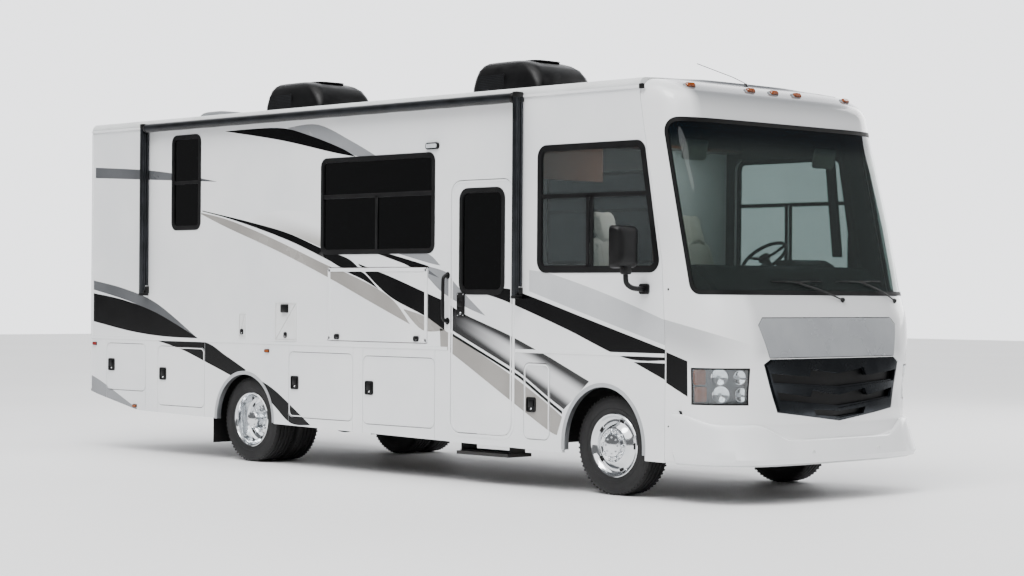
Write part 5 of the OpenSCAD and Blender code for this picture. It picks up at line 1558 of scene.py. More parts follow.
def makeMirrors():
    first = True
    for side, name in ((-1, "right"), (1, "left")):
        y0, y1 = sorted((side * (halfW + 0.11), side * (halfW + 0.37)))
        shell, glass, arm = bmesh.new(), bmesh.new(), bmesh.new()
        ym, zm = (y0 + y1) / 2, 2.02
        x0, x1 = frontX + 0.345, frontX + 0.445
        rows = ((x0, 1.0), (x0 + 0.012, 1.0), (x0 + 0.04, 0.985), (x0 + 0.07, 0.94), (x0 + 0.088, 0.86),
            (x0 + 0.097, 0.70), (x1, 0.4))
        w, h = (y1 - y0) / 2, 0.17
        rings = [[shell.verts.new((x, ym + u * k, zm + v * k)) for u, v in roundedBox(-w, w, -h, h,
            0.035)] for x, k in rows]
        innerRing = [shell.verts.new((x0, ym + u, zm + v)) for u, v in roundedBox(-w + 0.012, w - 0.012,
            -h + 0.012, h - 0.012, 0.026)]
        deepRing = [shell.verts.new((x0 + 0.012, ym + u, zm + v)) for u, v in roundedBox(-w + 0.014,
            w - 0.014, -h + 0.014, h - 0.014, 0.024)]
        rings = [deepRing, innerRing] + rings
        for p, q in zip(rings, rings[1:]):
            for i in range(len(p)):
                j = (i + 1) % len(p)
                shell.faces.new((p[i], p[j], q[j], q[i]))
        shell.faces.new(rings[0])
        shell.faces.new(rings[-1])
        made = finishPiece(shell, f"mirror_shell_{name}", "coach", absBlack, angle=50)
        if first:
            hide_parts("door_mirrors")
            first = False
        addPrism(glass, roundedBox(ym - w + 0.018, ym + w - 0.018, zm - 0.02, zm + h - 0.02, 0.018), "yz",
            x0 + 0.006, x0 + 0.0125)
        addPrism(glass, roundedBox(ym - w + 0.018, ym + w - 0.018, zm - h + 0.02, zm - 0.035, 0.018), "yz",
            x0 + 0.006, x0 + 0.0125)
        finishPiece(glass, f"mirror_glass_{name}", "coach", mirrorGlass)
        base = frontX + 0.395
        path = [(base, side * (halfW + 0.0), 1.685), (base, side * (halfW + 0.06), 1.686),
            (base, side * (halfW + 0.15), 1.695), (base, side * (halfW + 0.215), 1.73),
            (base, side * (halfW + 0.228), 1.79), (base, side * (halfW + 0.226), 1.87)]
        addTube(arm, smoothLine(path, 5), 0.021, 16)
        addBox(arm, (base - 0.035, base + 0.035), sorted((side * (halfW + 0.19), side * (halfW + 0.262))),
            (1.80, 1.875), 0.014, 3)
        addPrism(arm, roundedBox(base - 0.05, base + 0.05, 1.645, 1.73, 0.02), "xz",
            *sorted((side * (halfW - 0.002), side * (halfW + 0.022))))
        finishPiece(arm, f"mirror_arm_{name}", "coach", absBlack, angle=50)


def mirrorFinish():
    made, tree, shader, where = newMaterial("mirrorSilveredGlass", "#eef1f3", 0.01, Metallic=1.0)
    grained(tree, shader, where, 300, 0.01)
    return made


mirrorGlass = mirrorFinish()
makeDoors()
makeHatches()
makeMarkers()
makeArchLips()
makeAwning()
makeMirrors()
print("side fittings made")

seatLook = {"y": 0.56, "back": frontX - 0.62, "top": floorTop + 0.47, "recline": -12, "voxel": 0.0065,
    "pressure": 4.0}
# near-black headliner and lining tones: painted shade for the inside of the coach, so that it reads dark
# through the glass
headlinerFabricPaintedShade = simpleFinish("headlinerFabricDark", ("#17181a", "#1d1e20"), (0.8, 0.92), 90, (700, 0.3),
    IOR=1.4)
liningVinylPaintedShade = simpleFinish("liningVinylDark", ("#1b1a19", "#232120"), (0.55, 0.7), 200, (260, 0.2), IOR=1.45)
laminateDark = simpleFinish("laminateDarkTop", ("#2b2724", "#3a342f"), (0.25, 0.4), 60, (180, 0.1), IOR=1.5)


# a closed form through rounded sections: (along, halfWide, halfThick, middleWide, middleThick)
def softBlock(rows, turn, bend=4.0, count=44):
    bm = bmesh.new()
    rings = []
    for along, wide, thick, mw, mt in rows:
        ring = []
        for k in range(count):
            a = 2 * pi * k / count
            c, s = cos(a), sin(a)
            ring.append(bm.verts.new(turn @ Vector((mt + thick * math.copysign(abs(c) ** (2 / bend), c),
                mw + wide * math.copysign(abs(s) ** (2 / bend), s), along))))
        rings.append(ring)
    for p, q in zip(rings, rings[1:]):
        for i in range(count):
            j = (i + 1) % count
            bm.faces.new((p[i], p[j], q[j], q[i]))
    bm.faces.new(rings[0][::-1])
    bm.faces.new(rings[-1])
    return meshFrom(bm, "soft")


# the form filled by a cloth simulation, with no point moved further than reach
def puffed(mesh, voxel, reach):
    start = objectFrom(mesh, "soft_start")
    step = start.modifiers.new("remesh", "REMESH")
    step.mode, step.voxel_size = "VOXEL", voxel
    even = bpy.data.meshes.new_from_object(start.evaluated_get(bpy.context.evaluated_depsgraph_get()))
    bpy.data.objects.remove(start)
    body = objectFrom(even, "soft_body")
    cloth = body.modifiers.new("cloth", "CLOTH")
    cloth.settings.use_pressure = True
    cloth.settings.uniform_pressure_force = seatLook["pressure"]
    cloth.settings.effector_weights.gravity = 0
    cloth.settings.quality = 4
    cloth.collision_settings.use_collision = False
    for frame in range(1, 21):
        scene.frame_set(frame)
    swollen = bpy.data.meshes.new_from_object(body.evaluated_get(bpy.context.evaluated_depsgraph_get()))
    for before, after in zip(even.vertices, swollen.vertices):
        move = after.co - before.co
        if move.length > reach:
            after.co = before.co + move * (reach / move.length)
    bpy.data.objects.remove(body)
    scene.frame_set(1)
    return swollen


def moved(mesh, offset):
    copy = mesh.copy()
    copy.transform(Matrix.Translation(offset))
    return copy


# a sewn seam or piping laid on the nearest points of a soft mesh
def seamOn(bm, mesh, line, radius, closed=False):
    from mathutils.bvhtree import BVHTree
    tree = BVHTree.FromPolygons([v.co for v in mesh.vertices], [tuple(p.vertices) for p in mesh.polygons])
    points = []
    for point in line:
        spot, normal, _, _ = tree.find_nearest(Vector(point))
        points.append(spot + normal * radius * 0.35)
    addTube(bm, points, radius, 8, closed)


def makeSeats():
    look = seatLook
    y = -look["y"]
    upright = Matrix.Translation((look["back"], y, look["top"])) @ Matrix.Rotation(radians(look["recline"]),
        4, "Y")
    backRows = [(-0.015, 0.19, 0.028, 0, 0), (0.005, 0.222, 0.046, 0, 0), (0.08, 0.236, 0.05, 0, 0.002),
        (0.2, 0.238, 0.046, 0, 0.0), (0.32, 0.238, 0.046, 0, -0.002), (0.42, 0.226, 0.046, 0, -0.003),
        (0.49, 0.2, 0.042, 0, -0.004), (0.53, 0.165, 0.032, 0, -0.005), (0.545, 0.13, 0.016, 0, -0.005)]
    headRows = [(0.47, 0.112, 0.012, 0, 0.042), (0.485, 0.128, 0.022, 0, 0.036),
        (0.56, 0.138, 0.036, 0, 0.014), (0.64, 0.138, 0.038, 0, 0.0), (0.715, 0.13, 0.035, 0, -0.006),
        (0.75, 0.112, 0.026, 0, -0.008), (0.763, 0.09, 0.012, 0, -0.008)]
    flat = Matrix(((0, 0, 1, 0), (0, 1, 0, 0), (1, 0, 0, 0), (0, 0, 0, 1)))
    low = look["top"] - 0.07
    seat = Matrix.Translation((look["back"], y, low)) @ flat
    seatRows = [(0.012, 0.2, 0.035, 0, 0.0), (0.03, 0.232, 0.052, 0, 0.0), (0.15, 0.24, 0.052, 0, -0.003),
        (0.3, 0.24, 0.054, 0, 0.0), (0.42, 0.236, 0.056, 0, 0.002), (0.465, 0.225, 0.048, 0, -0.002),
        (0.484, 0.2, 0.03, 0, -0.006)]
    back = puffed(softBlock(backRows, upright), look["voxel"], 0.014)
    head = puffed(softBlock(headRows, upright), look["voxel"], 0.012)
    base = puffed(softBlock(seatRows, seat), look["voxel"], 0.014)
    piping = bmesh.new()
    for rows, turn, mesh in ((backRows, upright, back), (headRows, upright, head)):
        line = []
        for row in rows:
            line.append(turn @ Vector((row[4] + row[2] * 0.55, row[1] + 0.03, row[0])))
        for row in reversed(rows):
            line.append(turn @ Vector((row[4] + row[2] * 0.55, -row[1] - 0.03, row[0])))
        seamOn(piping, mesh, line, 0.0032, True)
    for side in (-1, 1):
        seamOn(piping, back, [upright @ Vector((0.09, side * 0.135, z / 40)) for z in range(1, 20)], 0.0022)
        seamOn(piping, base, [seat @ Vector((0.09, side * 0.14, x / 40)) for x in range(1, 19)], 0.0022)
    seamOn(piping, base, [seat @ Vector((0.05, side * 0.3, x)) for side, x in [(-1, 0.04), (-1, 0.2),
        (-1, 0.4), (-0.9, 0.47), (-0.4, 0.52), (0.4, 0.52), (0.9, 0.47), (1, 0.4), (1, 0.2), (1, 0.04)]],
        0.0032)
    pipingMesh = meshFrom(piping, "piping")
    first = True
    for side, name in ((-1, "right"), (1, "left")):
        offset = Vector((0, 0 if side < 0 else 2 * look["y"], 0))
        for mesh, part, fill in ((base, "cushion", 0.75), (back, "back", 0.7), (head, "headrest", 0.7)):
            piece = finishPiece(moved(mesh, offset), f"cab_seat_{part}_{name}", "coach", leatherWhite,
                angle=180)
            if first:
                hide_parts("cab_seats")
                first = False
        finishPiece(moved(pipingMesh, offset), f"cab_seat_piping_{name}", "coach", beigeVinyl, angle=180)
        cy = side * look["y"]
        stand = bmesh.new()
        x = look["back"]
        rows = ((floorTop, 0.19, 0.17), (floorTop + 0.03, 0.185, 0.165), (floorTop + 0.05, 0.15, 0.14),
            (floorTop + 0.28, 0.14, 0.13), (floorTop + 0.30, 0.2, 0.19), (floorTop + 0.325, 0.21, 0.2))
        rings = [[stand.verts.new((x + 0.24 + u, cy + v, z)) for u, v in roundedBox(-a, a, -b, b,
            0.05)] for z, a, b in rows]
        for p, q in zip(rings, rings[1:]):
            for i in range(len(p)):
                j = (i + 1) % len(p)
                stand.faces.new((p[i], p[j], q[j], q[i]))
        stand.faces.new(rings[0][::-1])
        stand.faces.new(rings[-1])
        finishPiece(stand, f"cab_seat_stand_{name}", "coach", absBlack)
        arms = bmesh.new()
        for s in (-1, 1):
            ay = cy + s * 0.235
            addTube(arms, smoothLine([(x - 0.03, ay, 1.80), (x + 0.05, ay, 1.808), (x + 0.2, ay, 1.80),
                (x + 0.28, ay, 1.795)], 5), 0.024, 16)
        finishPiece(arms, f"cab_seat_arms_{name}", "coach", leatherWhite, angle=60)


def makeLinings():
    inner = halfW - 0.045
    for side, name in ((-1, "right"), (1, "left")):
        slab = prismMesh([(backX + 0.05, floorTop + 0.03), (frontX + 0.60, floorTop + 0.03),
            (frontX + 0.57, floorTop + 0.76), (frontX + 0.325, roofTop - 0.155), (frontX + 0.325, 3.29),
            (backX + 0.05, 3.29)], "xz", *sorted((side * (inner - 0.01), side * (inner + 0.006))))
        panel = cut(joinedCopy("side_wall_" + name), [slab], "INTERSECT")
        panel.transform(Matrix.Translation((0, -side * 0.0065, 0)))
        finishPiece(panel, f"wall_lining_{name}", "coach", liningVinylPaintedShade)
    bm = bmesh.new()
    addBox(bm, (backX + 0.06, frontX + 0.3), (-inner + 0.01, inner - 0.01), (3.286, 3.299), 0.003, 1)
    finishPiece(bm, "headliner", "coach", headlinerFabricPaintedShade)
    bm = bmesh.new()
    addBox(bm, (frontX - 0.99, frontX + 0.40), (-inner + 0.03, inner - 0.03), (floorTop, floorTop + 0.012),
        0.004, 2)
    finishPiece(bm, "cab_carpet", "coach", carpet)
    bm = bmesh.new()
    for side in (-1, 1):
        ys = sorted((side * (inner - 0.02), side * 0.34))
        addBox(bm, (frontX - 1.02, frontX - 0.98), ys, (floorTop + 0.8 if side > 0 else 2.62, 3.285), 0.006,
            2)
    addBox(bm, (frontX - 1.06, frontX - 0.72), (-inner + 0.02, inner - 0.02), (2.93, 3.285), 0.02, 3)
    finishPiece(bm, "overhead_cabinet", "coach", cherryCabinet)
    bm = bmesh.new()
    for y0, y1 in ((-1.18, -0.66), (-0.62, -0.02), (0.02, 0.62), (0.66, 1.18)):
        addBox(bm, (frontX - 0.722, frontX - 0.708), (y0, y1), (2.96, 3.26), 0.006, 2)
    finishPiece(bm, "overhead_doors", "coach", liningVinylPaintedShade)
    visors, rods = bmesh.new(), bmesh.new()
    for y in (-0.86, 0.80):
        part = bmesh.new()
        addPrism(part, roundedBox(-0.14, 0.14, -0.17, 0.0, 0.03), "yz", -0.008, 0.008)
        bmesh.ops.transform(part, matrix=Matrix.Translation((frontX + 0.56, y,
            2.90)) @ Matrix.Rotation(radians(12), 4, "Y"), verts=part.verts)
        addInto(visors, part)
        addTube(rods, [(frontX + 0.56, y - 0.16, 2.905), (frontX + 0.56, y + 0.16, 2.905)], 0.006, 10)
        addTube(rods, [(frontX + 0.56, y - 0.15, 2.905), (frontX + 0.53, y - 0.15, 2.97),
            (frontX + 0.50, y - 0.15, 3.0)], 0.006, 10)
    finishPiece(visors, "sun_visors", "coach", beigeVinyl)
    finishPiece(rods, "sun_visor_rods", "coach", absBlack)
    bm = bmesh.new()
    shade = [(frontX + 0.40, 3.0), (frontX + 0.40, 3.28), (frontX + 0.44, 3.28), (frontX + 0.53, 3.02),
        (frontX + 0.50, 2.985)]
    addPrism(bm, shade, "xz", -1.10, 1.10)
    finishPiece(bm, "windshield_shade_box", "coach", headlinerFabricPaintedShade)
    curtains = bmesh.new()
    for side in (-1, 1):
        line = []
        for k in range(41):
            u = k / 40
            line.append((frontX + 0.40 + 0.05 * sin(u * 2 * pi * 6) * 0.35 + 0.08 * u,
                side * (1.13 - 0.02 * cos(u * 2 * pi * 6))))
        low = [curtains.verts.new((x, y, 1.98)) for x, y in line]
        high = [curtains.verts.new((x - 0.10, y, 2.96)) for x, y in line]
        back = [curtains.verts.new((x, y - side * 0.004, 1.98)) for x, y in line]
        backHigh = [curtains.verts.new((x - 0.10, y - side * 0.004, 2.96)) for x, y in line]
        for a, b in ((low, high), (high, backHigh), (backHigh, back), (back, low)):
            for i in range(40):
                curtains.faces.new((a[i], a[i + 1], b[i + 1], b[i]))
        for end in (0, -1):
            curtains.faces.new((low[end], high[end], backHigh[end], back[end]))
    finishPiece(curtains, "cab_curtains", "coach", headlinerFabricPaintedShade, angle=60)


def makeDash():
    bm = bmesh.new()
    # padded top over the dash, with a hood over the instruments
    top = [(frontX + 0.42, 1.70), (frontX + 0.415, 1.80), (frontX + 0.44, 1.852), (frontX + 0.50, 1.868),
        (frontX + 0.75, 1.885), (frontX + 0.86, 1.83), (frontX + 0.99, 1.66), (frontX + 0.99, 1.62),
        (frontX + 0.5, 1.62)]
    addPrism(bm, top, "xz", -1.08, 1.08)
    hood = [(frontX + 0.43, 1.84), (frontX + 0.405, 1.915), (frontX + 0.44, 1.94), (frontX + 0.56, 1.945),
        (frontX + 0.66, 1.90), (frontX + 0.66, 1.84)]
    addPrism(bm, hood, "xz", 0.33, 0.80)
    made = finishPiece(bm, "dash_top_pad", "coach", dashVinyl, angle=50)
    bm, dark = bmesh.new(), bmesh.new()
    for y in (-0.78, -0.2, 0.12, 0.98):
        addFrame(bm, roundedBox(y - 0.075, y + 0.075, 1.735, 1.795, 0.02), roundedBox(y - 0.066, y + 0.066,
            1.744, 1.786, 0.014), "yz", frontX + 0.402, frontX + 0.424)
        for k in range(5):
            addBox(dark, (frontX + 0.407, frontX + 0.43), (y - 0.066, y + 0.066),
                (1.7475 + k * 0.0085, 1.7505 + k * 0.0085), 0.0006, 1)
    addPrism(dark, roundedBox(-0.16, 0.16, 1.56, 1.71, 0.015), "yz", frontX + 0.404, frontX + 0.43)
    finishPiece(bm, "dash_vent_rings", "coach", aluminiumDark)
    finishPiece(dark, "dash_vents_and_screen", "coach", absBlack)
    # steering wheel on its leaning column
    spot = Vector((frontX + 0.09, 0.56, floorTop + 0.825))
    turn = Matrix.Translation(spot) @ Matrix.Rotation(radians(-38), 4, "Y")
    bm = bmesh.new()
    addTube(bm, [(0.21 * cos(2 * pi * k / 72), 0.21 * sin(2 * pi * k / 72), 0) for k in range(72)], 0.0155,
        18, True)
    for k in range(0, 72, 18):
        a = 2 * pi * k / 72 + 0.35
        addTube(bm, [((0.21 + 0.0155 * cos(t)) * cos(a), (0.21 + 0.0155 * cos(t)) * sin(a),
            0.0155 * sin(t)) for t in [2 * pi * j / 16 for j in range(16)]], 0.0012, 6, True)
    bmesh.ops.transform(bm, matrix=turn, verts=bm.verts)
    made = finishPiece(bm, "steering_wheel_rim", "steering_wheel", dashVinyl, angle=60)
    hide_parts("steering_wheel")
    bm = bmesh.new()
    for angle in (30, 150, 270):
        a = radians(angle)
        addTube(bm, [(r * cos(a), r * sin(a), h) for r, h in ((0.03, -0.004), (0.08, -0.01), (0.15, -0.006),
            (0.206, 0.0))], 0.012, 14)
    addLathe(bm, [(0, 0.026), (0.03, 0.025), (0.05, 0.018), (0.057, 0.004), (0.055, -0.012), (0.03, -0.02),
        (0.014, -0.03), (0.0135, -0.11), (0, -0.11)], (0, 0, 0), (0, 0, 1), 48)
    bmesh.ops.transform(bm, matrix=turn, verts=bm.verts)
    finishPiece(bm, "steering_wheel_spokes", "steering_wheel", absBlack, angle=50)


def makeFurniture():
    inner = halfW - 0.045
    x0, x1 = doorLow.x - 1.7, doorLow.x - 0.06
    y0, y1 = -inner + 0.01, -inner + 0.6
    bm = bmesh.new()
    addBox(bm, (x0, x1), (y0, y1 - 0.02), (floorTop + 0.08, floorTop + 0.82), 0.004, 1)
    addBox(bm, (x0, x1), (y0, y1 - 0.08), (floorTop, floorTop + 0.08), 0.002, 1)
    made = finishPiece(bm, "galley_cabinet", "coach", cherryCabinet)
    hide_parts("furniture")
    doors, knobs = bmesh.new(), bmesh.new()
    for k in range(4):
        a, b = x0 + 0.01 + k * (x1 - x0) / 4, x0 - 0.01 + (k + 1) * (x1 - x0) / 4
        addBox(doors, (a, b), (y1 - 0.021, y1 - 0.003), (floorTop + 0.1, floorTop + 0.6), 0.003, 2)
        addBox(doors, (a, b), (y1 - 0.021, y1 - 0.003), (floorTop + 0.62, floorTop + 0.8), 0.003, 2)
        for z in (0.56, 0.71):
            addTube(knobs, [((a + b) / 2 - 0.05, y1 - 0.002, floorTop + z), ((a + b) / 2 - 0.05, y1 + 0.012,
                floorTop + z), ((a + b) / 2 + 0.05, y1 + 0.012, floorTop + z), ((a + b) / 2 + 0.05,
                y1 - 0.002, floorTop + z)], 0.004, 8)
    finishPiece(doors, "galley_cabinet_doors", "coach", cherryCabinet)
    finishPiece(knobs, "galley_cabinet_pulls", "coach", chrome)
    bm = bmesh.new()
    sink = roundedBox(x0 + 0.25, x0 + 0.70, y0 + 0.09, y0 + 0.44, 0.05)
    addFrame(bm, roundedBox(x0 - 0.005, x1 + 0.005, y0, y1, 0.012, 0, len(sink) // 4), sink, "xy",
        floorTop + 0.822, floorTop + 0.858)
    finishPiece(bm, "galley_counter", "coach", laminateDark)
    bm = bmesh.new()
    rows = ((0.858, 0.012), (0.861, 0.004), (0.857, -0.004), (0.70, -0.02), (0.69, -0.05), (0.688, -0.1))
    rings = [[bm.verts.new((u, v, floorTop + z)) for u, v in roundedBox(x0 + 0.25, x0 + 0.70, y0 + 0.09,
        y0 + 0.44, 0.05, g)] for z, g in rows]
    for p, q in zip(rings, rings[1:]):
        for i in range(len(p)):
            j = (i + 1) % len(p)
            bm.faces.new((p[i], p[j], q[j], q[i]))
    bm.faces.new(rings[-1])
    finishPiece(bm, "galley_sink", "coach", chrome)
    bm = bmesh.new()
    addTube(bm, smoothLine([(x0 + 0.475, y0 + 0.06, floorTop + 0.855), (x0 + 0.475, y0 + 0.06,
        floorTop + 1.05), (x0 + 0.475, y0 + 0.10, floorTop + 1.13), (x0 + 0.475, y0 + 0.18, floorTop + 1.14),
        (x0 + 0.475, y0 + 0.23, floorTop + 1.09)], 6), 0.011, 14)
    addBox(bm, (x0 + 0.43, x0 + 0.52), (y0 + 0.035, y0 + 0.085), (floorTop + 0.856, floorTop + 0.872), 0.006,
        2)
    finishPiece(bm, "galley_tap", "coach", chrome)
    bx0, bx1 = backX + 0.345, backX + 1.875
    bm = bmesh.new()
    addBox(bm, (bx0, bx1), (-0.69, 0.69), (floorTop, floorTop + 0.30), 0.006, 2)
    addBox(bm, (bx0 - 0.03, bx0), (-0.74, 0.74), (floorTop, floorTop + 0.95), 0.02, 3)
    finishPiece(bm, "bed_base", "coach", cherryCabinet)
    z = floorTop + 0.41
    turn = Matrix.Translation((bx0 + 0.02, 0, z)) @ Matrix(((0, 0, 1, 0), (0, 1, 0, 0), (1, 0, 0, 0),
        (0, 0, 0, 1)))
    length = bx1 - bx0 - 0.04
    rows = [(0.0, 0.62, 0.07, 0, 0), (0.02, 0.66, 0.085, 0, 0), (length * 0.5, 0.67, 0.088, 0, 0),
        (length - 0.02, 0.66, 0.085, 0, 0), (length, 0.62, 0.07, 0, 0)]
    bed = finishPiece(puffed(softBlock(rows, turn, 9.0, 72), 0.016, 0.016), "bed_mattress", "coach",
        mattressFabric, angle=180)
    for side, name in ((-1, "right"), (1, "left")):
        turn = Matrix.Translation((bx0 + 0.06, side * 0.34, z + 0.135)) @ Matrix(((0, 0, 1, 0), (0, 1, 0, 0),
            (1, 0, 0, 0), (0, 0, 0, 1)))
        rows = [(0.0, 0.24, 0.012, 0, 0), (0.03, 0.27, 0.03, 0, 0), (0.15, 0.275, 0.05, 0, 0),
            (0.29, 0.27, 0.03, 0, 0), (0.32, 0.24, 0.012, 0, 0)]
        pillow = finishPiece(puffed(softBlock(rows, turn, 5.0, 48), 0.008, 0.016), f"bed_pillow_{name}",
            "coach", mattressFabric, angle=180)


makeSeats()
makeLinings()
makeDash()
makeFurniture()
print("cab and living space made")

roofLook = {"slats": 9}


# faces between rings of points
def lofted(bm, rings, closeEnds=True):
    made = [[bm.verts.new(point) for point in ring] for ring in rings]
    for p, q in zip(made, made[1:]):
        for i in range(len(p)):
            j = (i + 1) % len(p)
            bm.faces.new((p[i], p[j], q[j], q[i]))
    if closeEnds:
        bm.faces.new(made[0][::-1])
        bm.faces.new(made[-1])


def roundRing(x0, x1, y0, y1, z, radius):
    return [(u, v, z) for u, v in roundedBox(x0, x1, y0, y1, radius)]


def makeRoof():
    low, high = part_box("air_conditioners")
    base, top = roofTop - 0.004, high.z - 0.003
    length = 0.91
    for number, x0 in enumerate((low.x, high.x - length)):
        x1 = x0 + length
        h = top - base
        shroud = bmesh.new()
        rings = []
        for z, back, front, w, r in ((0.0, 0.012, 0.012, 0.352, 0.05), (0.20, 0.004, 0.004, 0.357, 0.06),
                (0.40, 0.004, 0.006, 0.357, 0.075), (0.62, 0.018, 0.05, 0.350, 0.09),
                (0.80, 0.042, 0.11, 0.336, 0.10), (0.91, 0.072, 0.19, 0.312, 0.11),
                (0.965, 0.105, 0.27, 0.28, 0.10), (0.99, 0.15, 0.34, 0.235, 0.09),
                (1.0, 0.21, 0.41, 0.18, 0.07)):
            rings.append(roundRing(x0 + back, x1 - front, -w, w, base + z * h, r))
        lofted(shroud, rings)
        made = finishPiece(shroud, f"air_conditioner_shroud_{number + 1}", "coach", absBlack, angle=50)
        if number == 0:
            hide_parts("air_conditioners")
        trim = bmesh.new()
        addPrism(trim, roundedBox(x0 + 0.001, x1 - 0.001, -0.3595, 0.3595, 0.05), "xy", base - 0.004,
            base + 0.028)
        addPrism(trim, roundedBox(x0 + 0.12, x1 - 0.22, -0.18, 0.18, 0.09), "xy", base + h - 0.012,
            base + h - 0.001)
        for side in (-1, 1):
            addPrism(trim, roundedBox(x0 + 0.10, x0 + 0.46, base + h * 0.30, base + h * 0.68, 0.03), "xz",
                *sorted((side * 0.340, side * 0.3585)))
        finishPiece(trim, f"air_conditioner_trim_{number + 1}", "coach", absBlack)
        slat = bmesh.new()
        addBox(slat, (0, 0.34), (-0.3592, 0.3592), (-0.0035, 0.0035), 0.0015, 1)
        copies("line", meshFrom(slat, "slat"), f"air_conditioner_slats_{number + 1}", roofLook["slats"],
            (0, 0, 0.0155), (x0 + 0.11, 0, base + h * 0.33), "coach", aluminiumDark)
    low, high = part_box("roof_vents")
    domes, flanges = bmesh.new(), bmesh.new()
    for x, y in ((rearX - 1.45, -0.5), (rearX - 2.15, 0.3)):
        z, h = low.z + 0.006, high.z - low.z - 0.008
        r = 0.2
        rows = ((0.0, 0.0), (0.35, 0.0), (0.62, 0.012), (0.82, 0.03), (0.95, 0.06), (1.0, 0.11))
        lofted(domes, [roundRing(x - r + g, x + r - g, y - r + g, y + r - g, z + u * h, 0.06) for u,
            g in rows])
        addFrame(flanges, roundedBox(x - 0.215, x + 0.215, y - 0.215, y + 0.215, 0.03),
            roundedBox(x - 0.19, x + 0.19, y - 0.19, y + 0.19, 0.03), "xy", low.z - 0.003, low.z + 0.014)
    made = finishPiece(domes, "roof_vent_domes", "coach", absGrey, angle=50)
    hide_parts("roof_vents")
    finishPiece(flanges, "roof_vent_flanges", "coach", absWhite)
    more = bmesh.new()
    addLathe(more, [(0, 0.05), (0.03, 0.048), (0.055, 0.035), (0.06, 0.0), (0, 0.0)],
        (rearX - 0.3 - 1.15, 0.62, roofTop + 0.012), (0, 0, 1), 32)
    addLathe(more, [(0, 0.06), (0.09, 0.055), (0.13, 0.03), (0.14, 0.0), (0, 0.0)],
        (rearX + 1.55, 0.55, roofTop + 0.016), (0, 0, 1), 40)
    addPrism(more, roundedBox(frontX - 1.4, frontX - 0.9, -0.34, 0.34, 0.08), "xy", roofTop + 0.014,
        roofTop + 0.05)
    finishPiece(more, "roof_caps_and_skylight", "coach", absWhite, angle=40)
    whip = bmesh.new()
    addTube(whip, [(frontX + 0.34, 0, 3.408), (frontX + 0.335, 0, 3.425), (frontX + 0.2, 0, 3.485),
        (frontX - 0.2, 0, 3.627)], 0.003, 8)
    addLathe(whip, [(0, 0.03), (0.01, 0.028), (0.02, 0.01), (0.026, 0.0), (0, 0.0)],
        (frontX + 0.34, 0, 3.395), (0, 0, 1), 24)
    finishPiece(whip, "antenna_whip", "coach", absBlack)
    rails, ends = bmesh.new(), bmesh.new()
    for side in (-1, 1):
        y = side * halfW
        section = [(y + side * 0.0, 3.300), (y + side * 0.014, 3.302), (y + side * 0.0165, 3.322),
            (y + side * 0.012, 3.324), (y + side * 0.010, 3.309), (y, 3.308)]
        addPrism(rails, section, "yz", backX + 0.01, frontX + 0.36)
        addBox(ends, (frontX + 0.33, frontX + 0.375), sorted((y - side * 0.004, y + side * 0.022)),
            (3.292, 3.335), 0.006, 2)
        section = [(y - side * 0.002, floorTop + 0.004), (y + side * 0.0055, floorTop + 0.007),
            (y + side * 0.007, floorTop + 0.020), (y + side * 0.0055, floorTop + 0.033),
            (y - side * 0.002, floorTop + 0.036)]
        for a, b in ((doorHigh.x + 0.045, frontX + 0.612), (backX + 0.01, doorLow.x - 0.045)):
            addPrism(rails, section, "yz", a, b)
    finishPiece(rails, "gutter_and_belt_rails", "coach", gelcoatWhite)
    finishPiece(ends, "gutter_end_spouts", "coach", absBlack)


def makeWipers():
    arms, blades = bmesh.new(), bmesh.new()
    for pivot, elbow, tip, b0, b1 in (((0.25, 1.605), (0.02, 1.675), (-0.30, 1.745), (-0.62, 1.752),
            (0.02, 1.758)), ((0.98, 1.60), (0.80, 1.68), (0.55, 1.755), (0.20, 1.76), (0.82, 1.766))):
        spots = [capAt(y, z, inset) for (y, z), inset in ((pivot, -0.014), (elbow, -0.020), (tip, -0.016))]
        addTube(arms, smoothLine(spots, 6), 0.0065, 10)
        base = capAt(pivot[0], pivot[1], 0.004)
        addLathe(arms, [(0, 0.03), (0.012, 0.029), (0.019, 0.02), (0.024, 0.0), (0, 0.0)], base,
            (0.8, 0, 0.45), 24)
        line = [capAt(b0[0] + (b1[0] - b0[0]) * k / 16, b0[1] + (b1[1] - b0[1]) * k / 16,
            -0.0075 - 0.004 * sin(pi * k / 16)) for k in range(17)]
        addTube(blades, line, 0.0055, 8)
        addTube(arms, [line[4] + Vector((0.006, 0, 0.003)), capAt(tip[0], tip[1], -0.02),
            line[12] + Vector((0.006, 0, 0.003))], 0.0045, 8)
    finishPiece(arms, "wiper_arms", "coach", absBlack, angle=50)
    finishPiece(blades, "wiper_blades", "coach", rubberSeal, angle=50)
    bolts = bmesh.new()
    for side in (-1, 1):
        for x, z, r in ((frontX + 0.645, 1.685, 0.011), (frontX + 0.655, 0.60, 0.008)):
            addLathe(bolts, [(0, 0.006), (r * 0.7, 0.005), (r, 0.0), (0, 0.0)], (x, side * (halfW - 0.002),
                z), (0, side, 0), 20)
    finishPiece(bolts, "cap_bolts", "coach", absBlack)


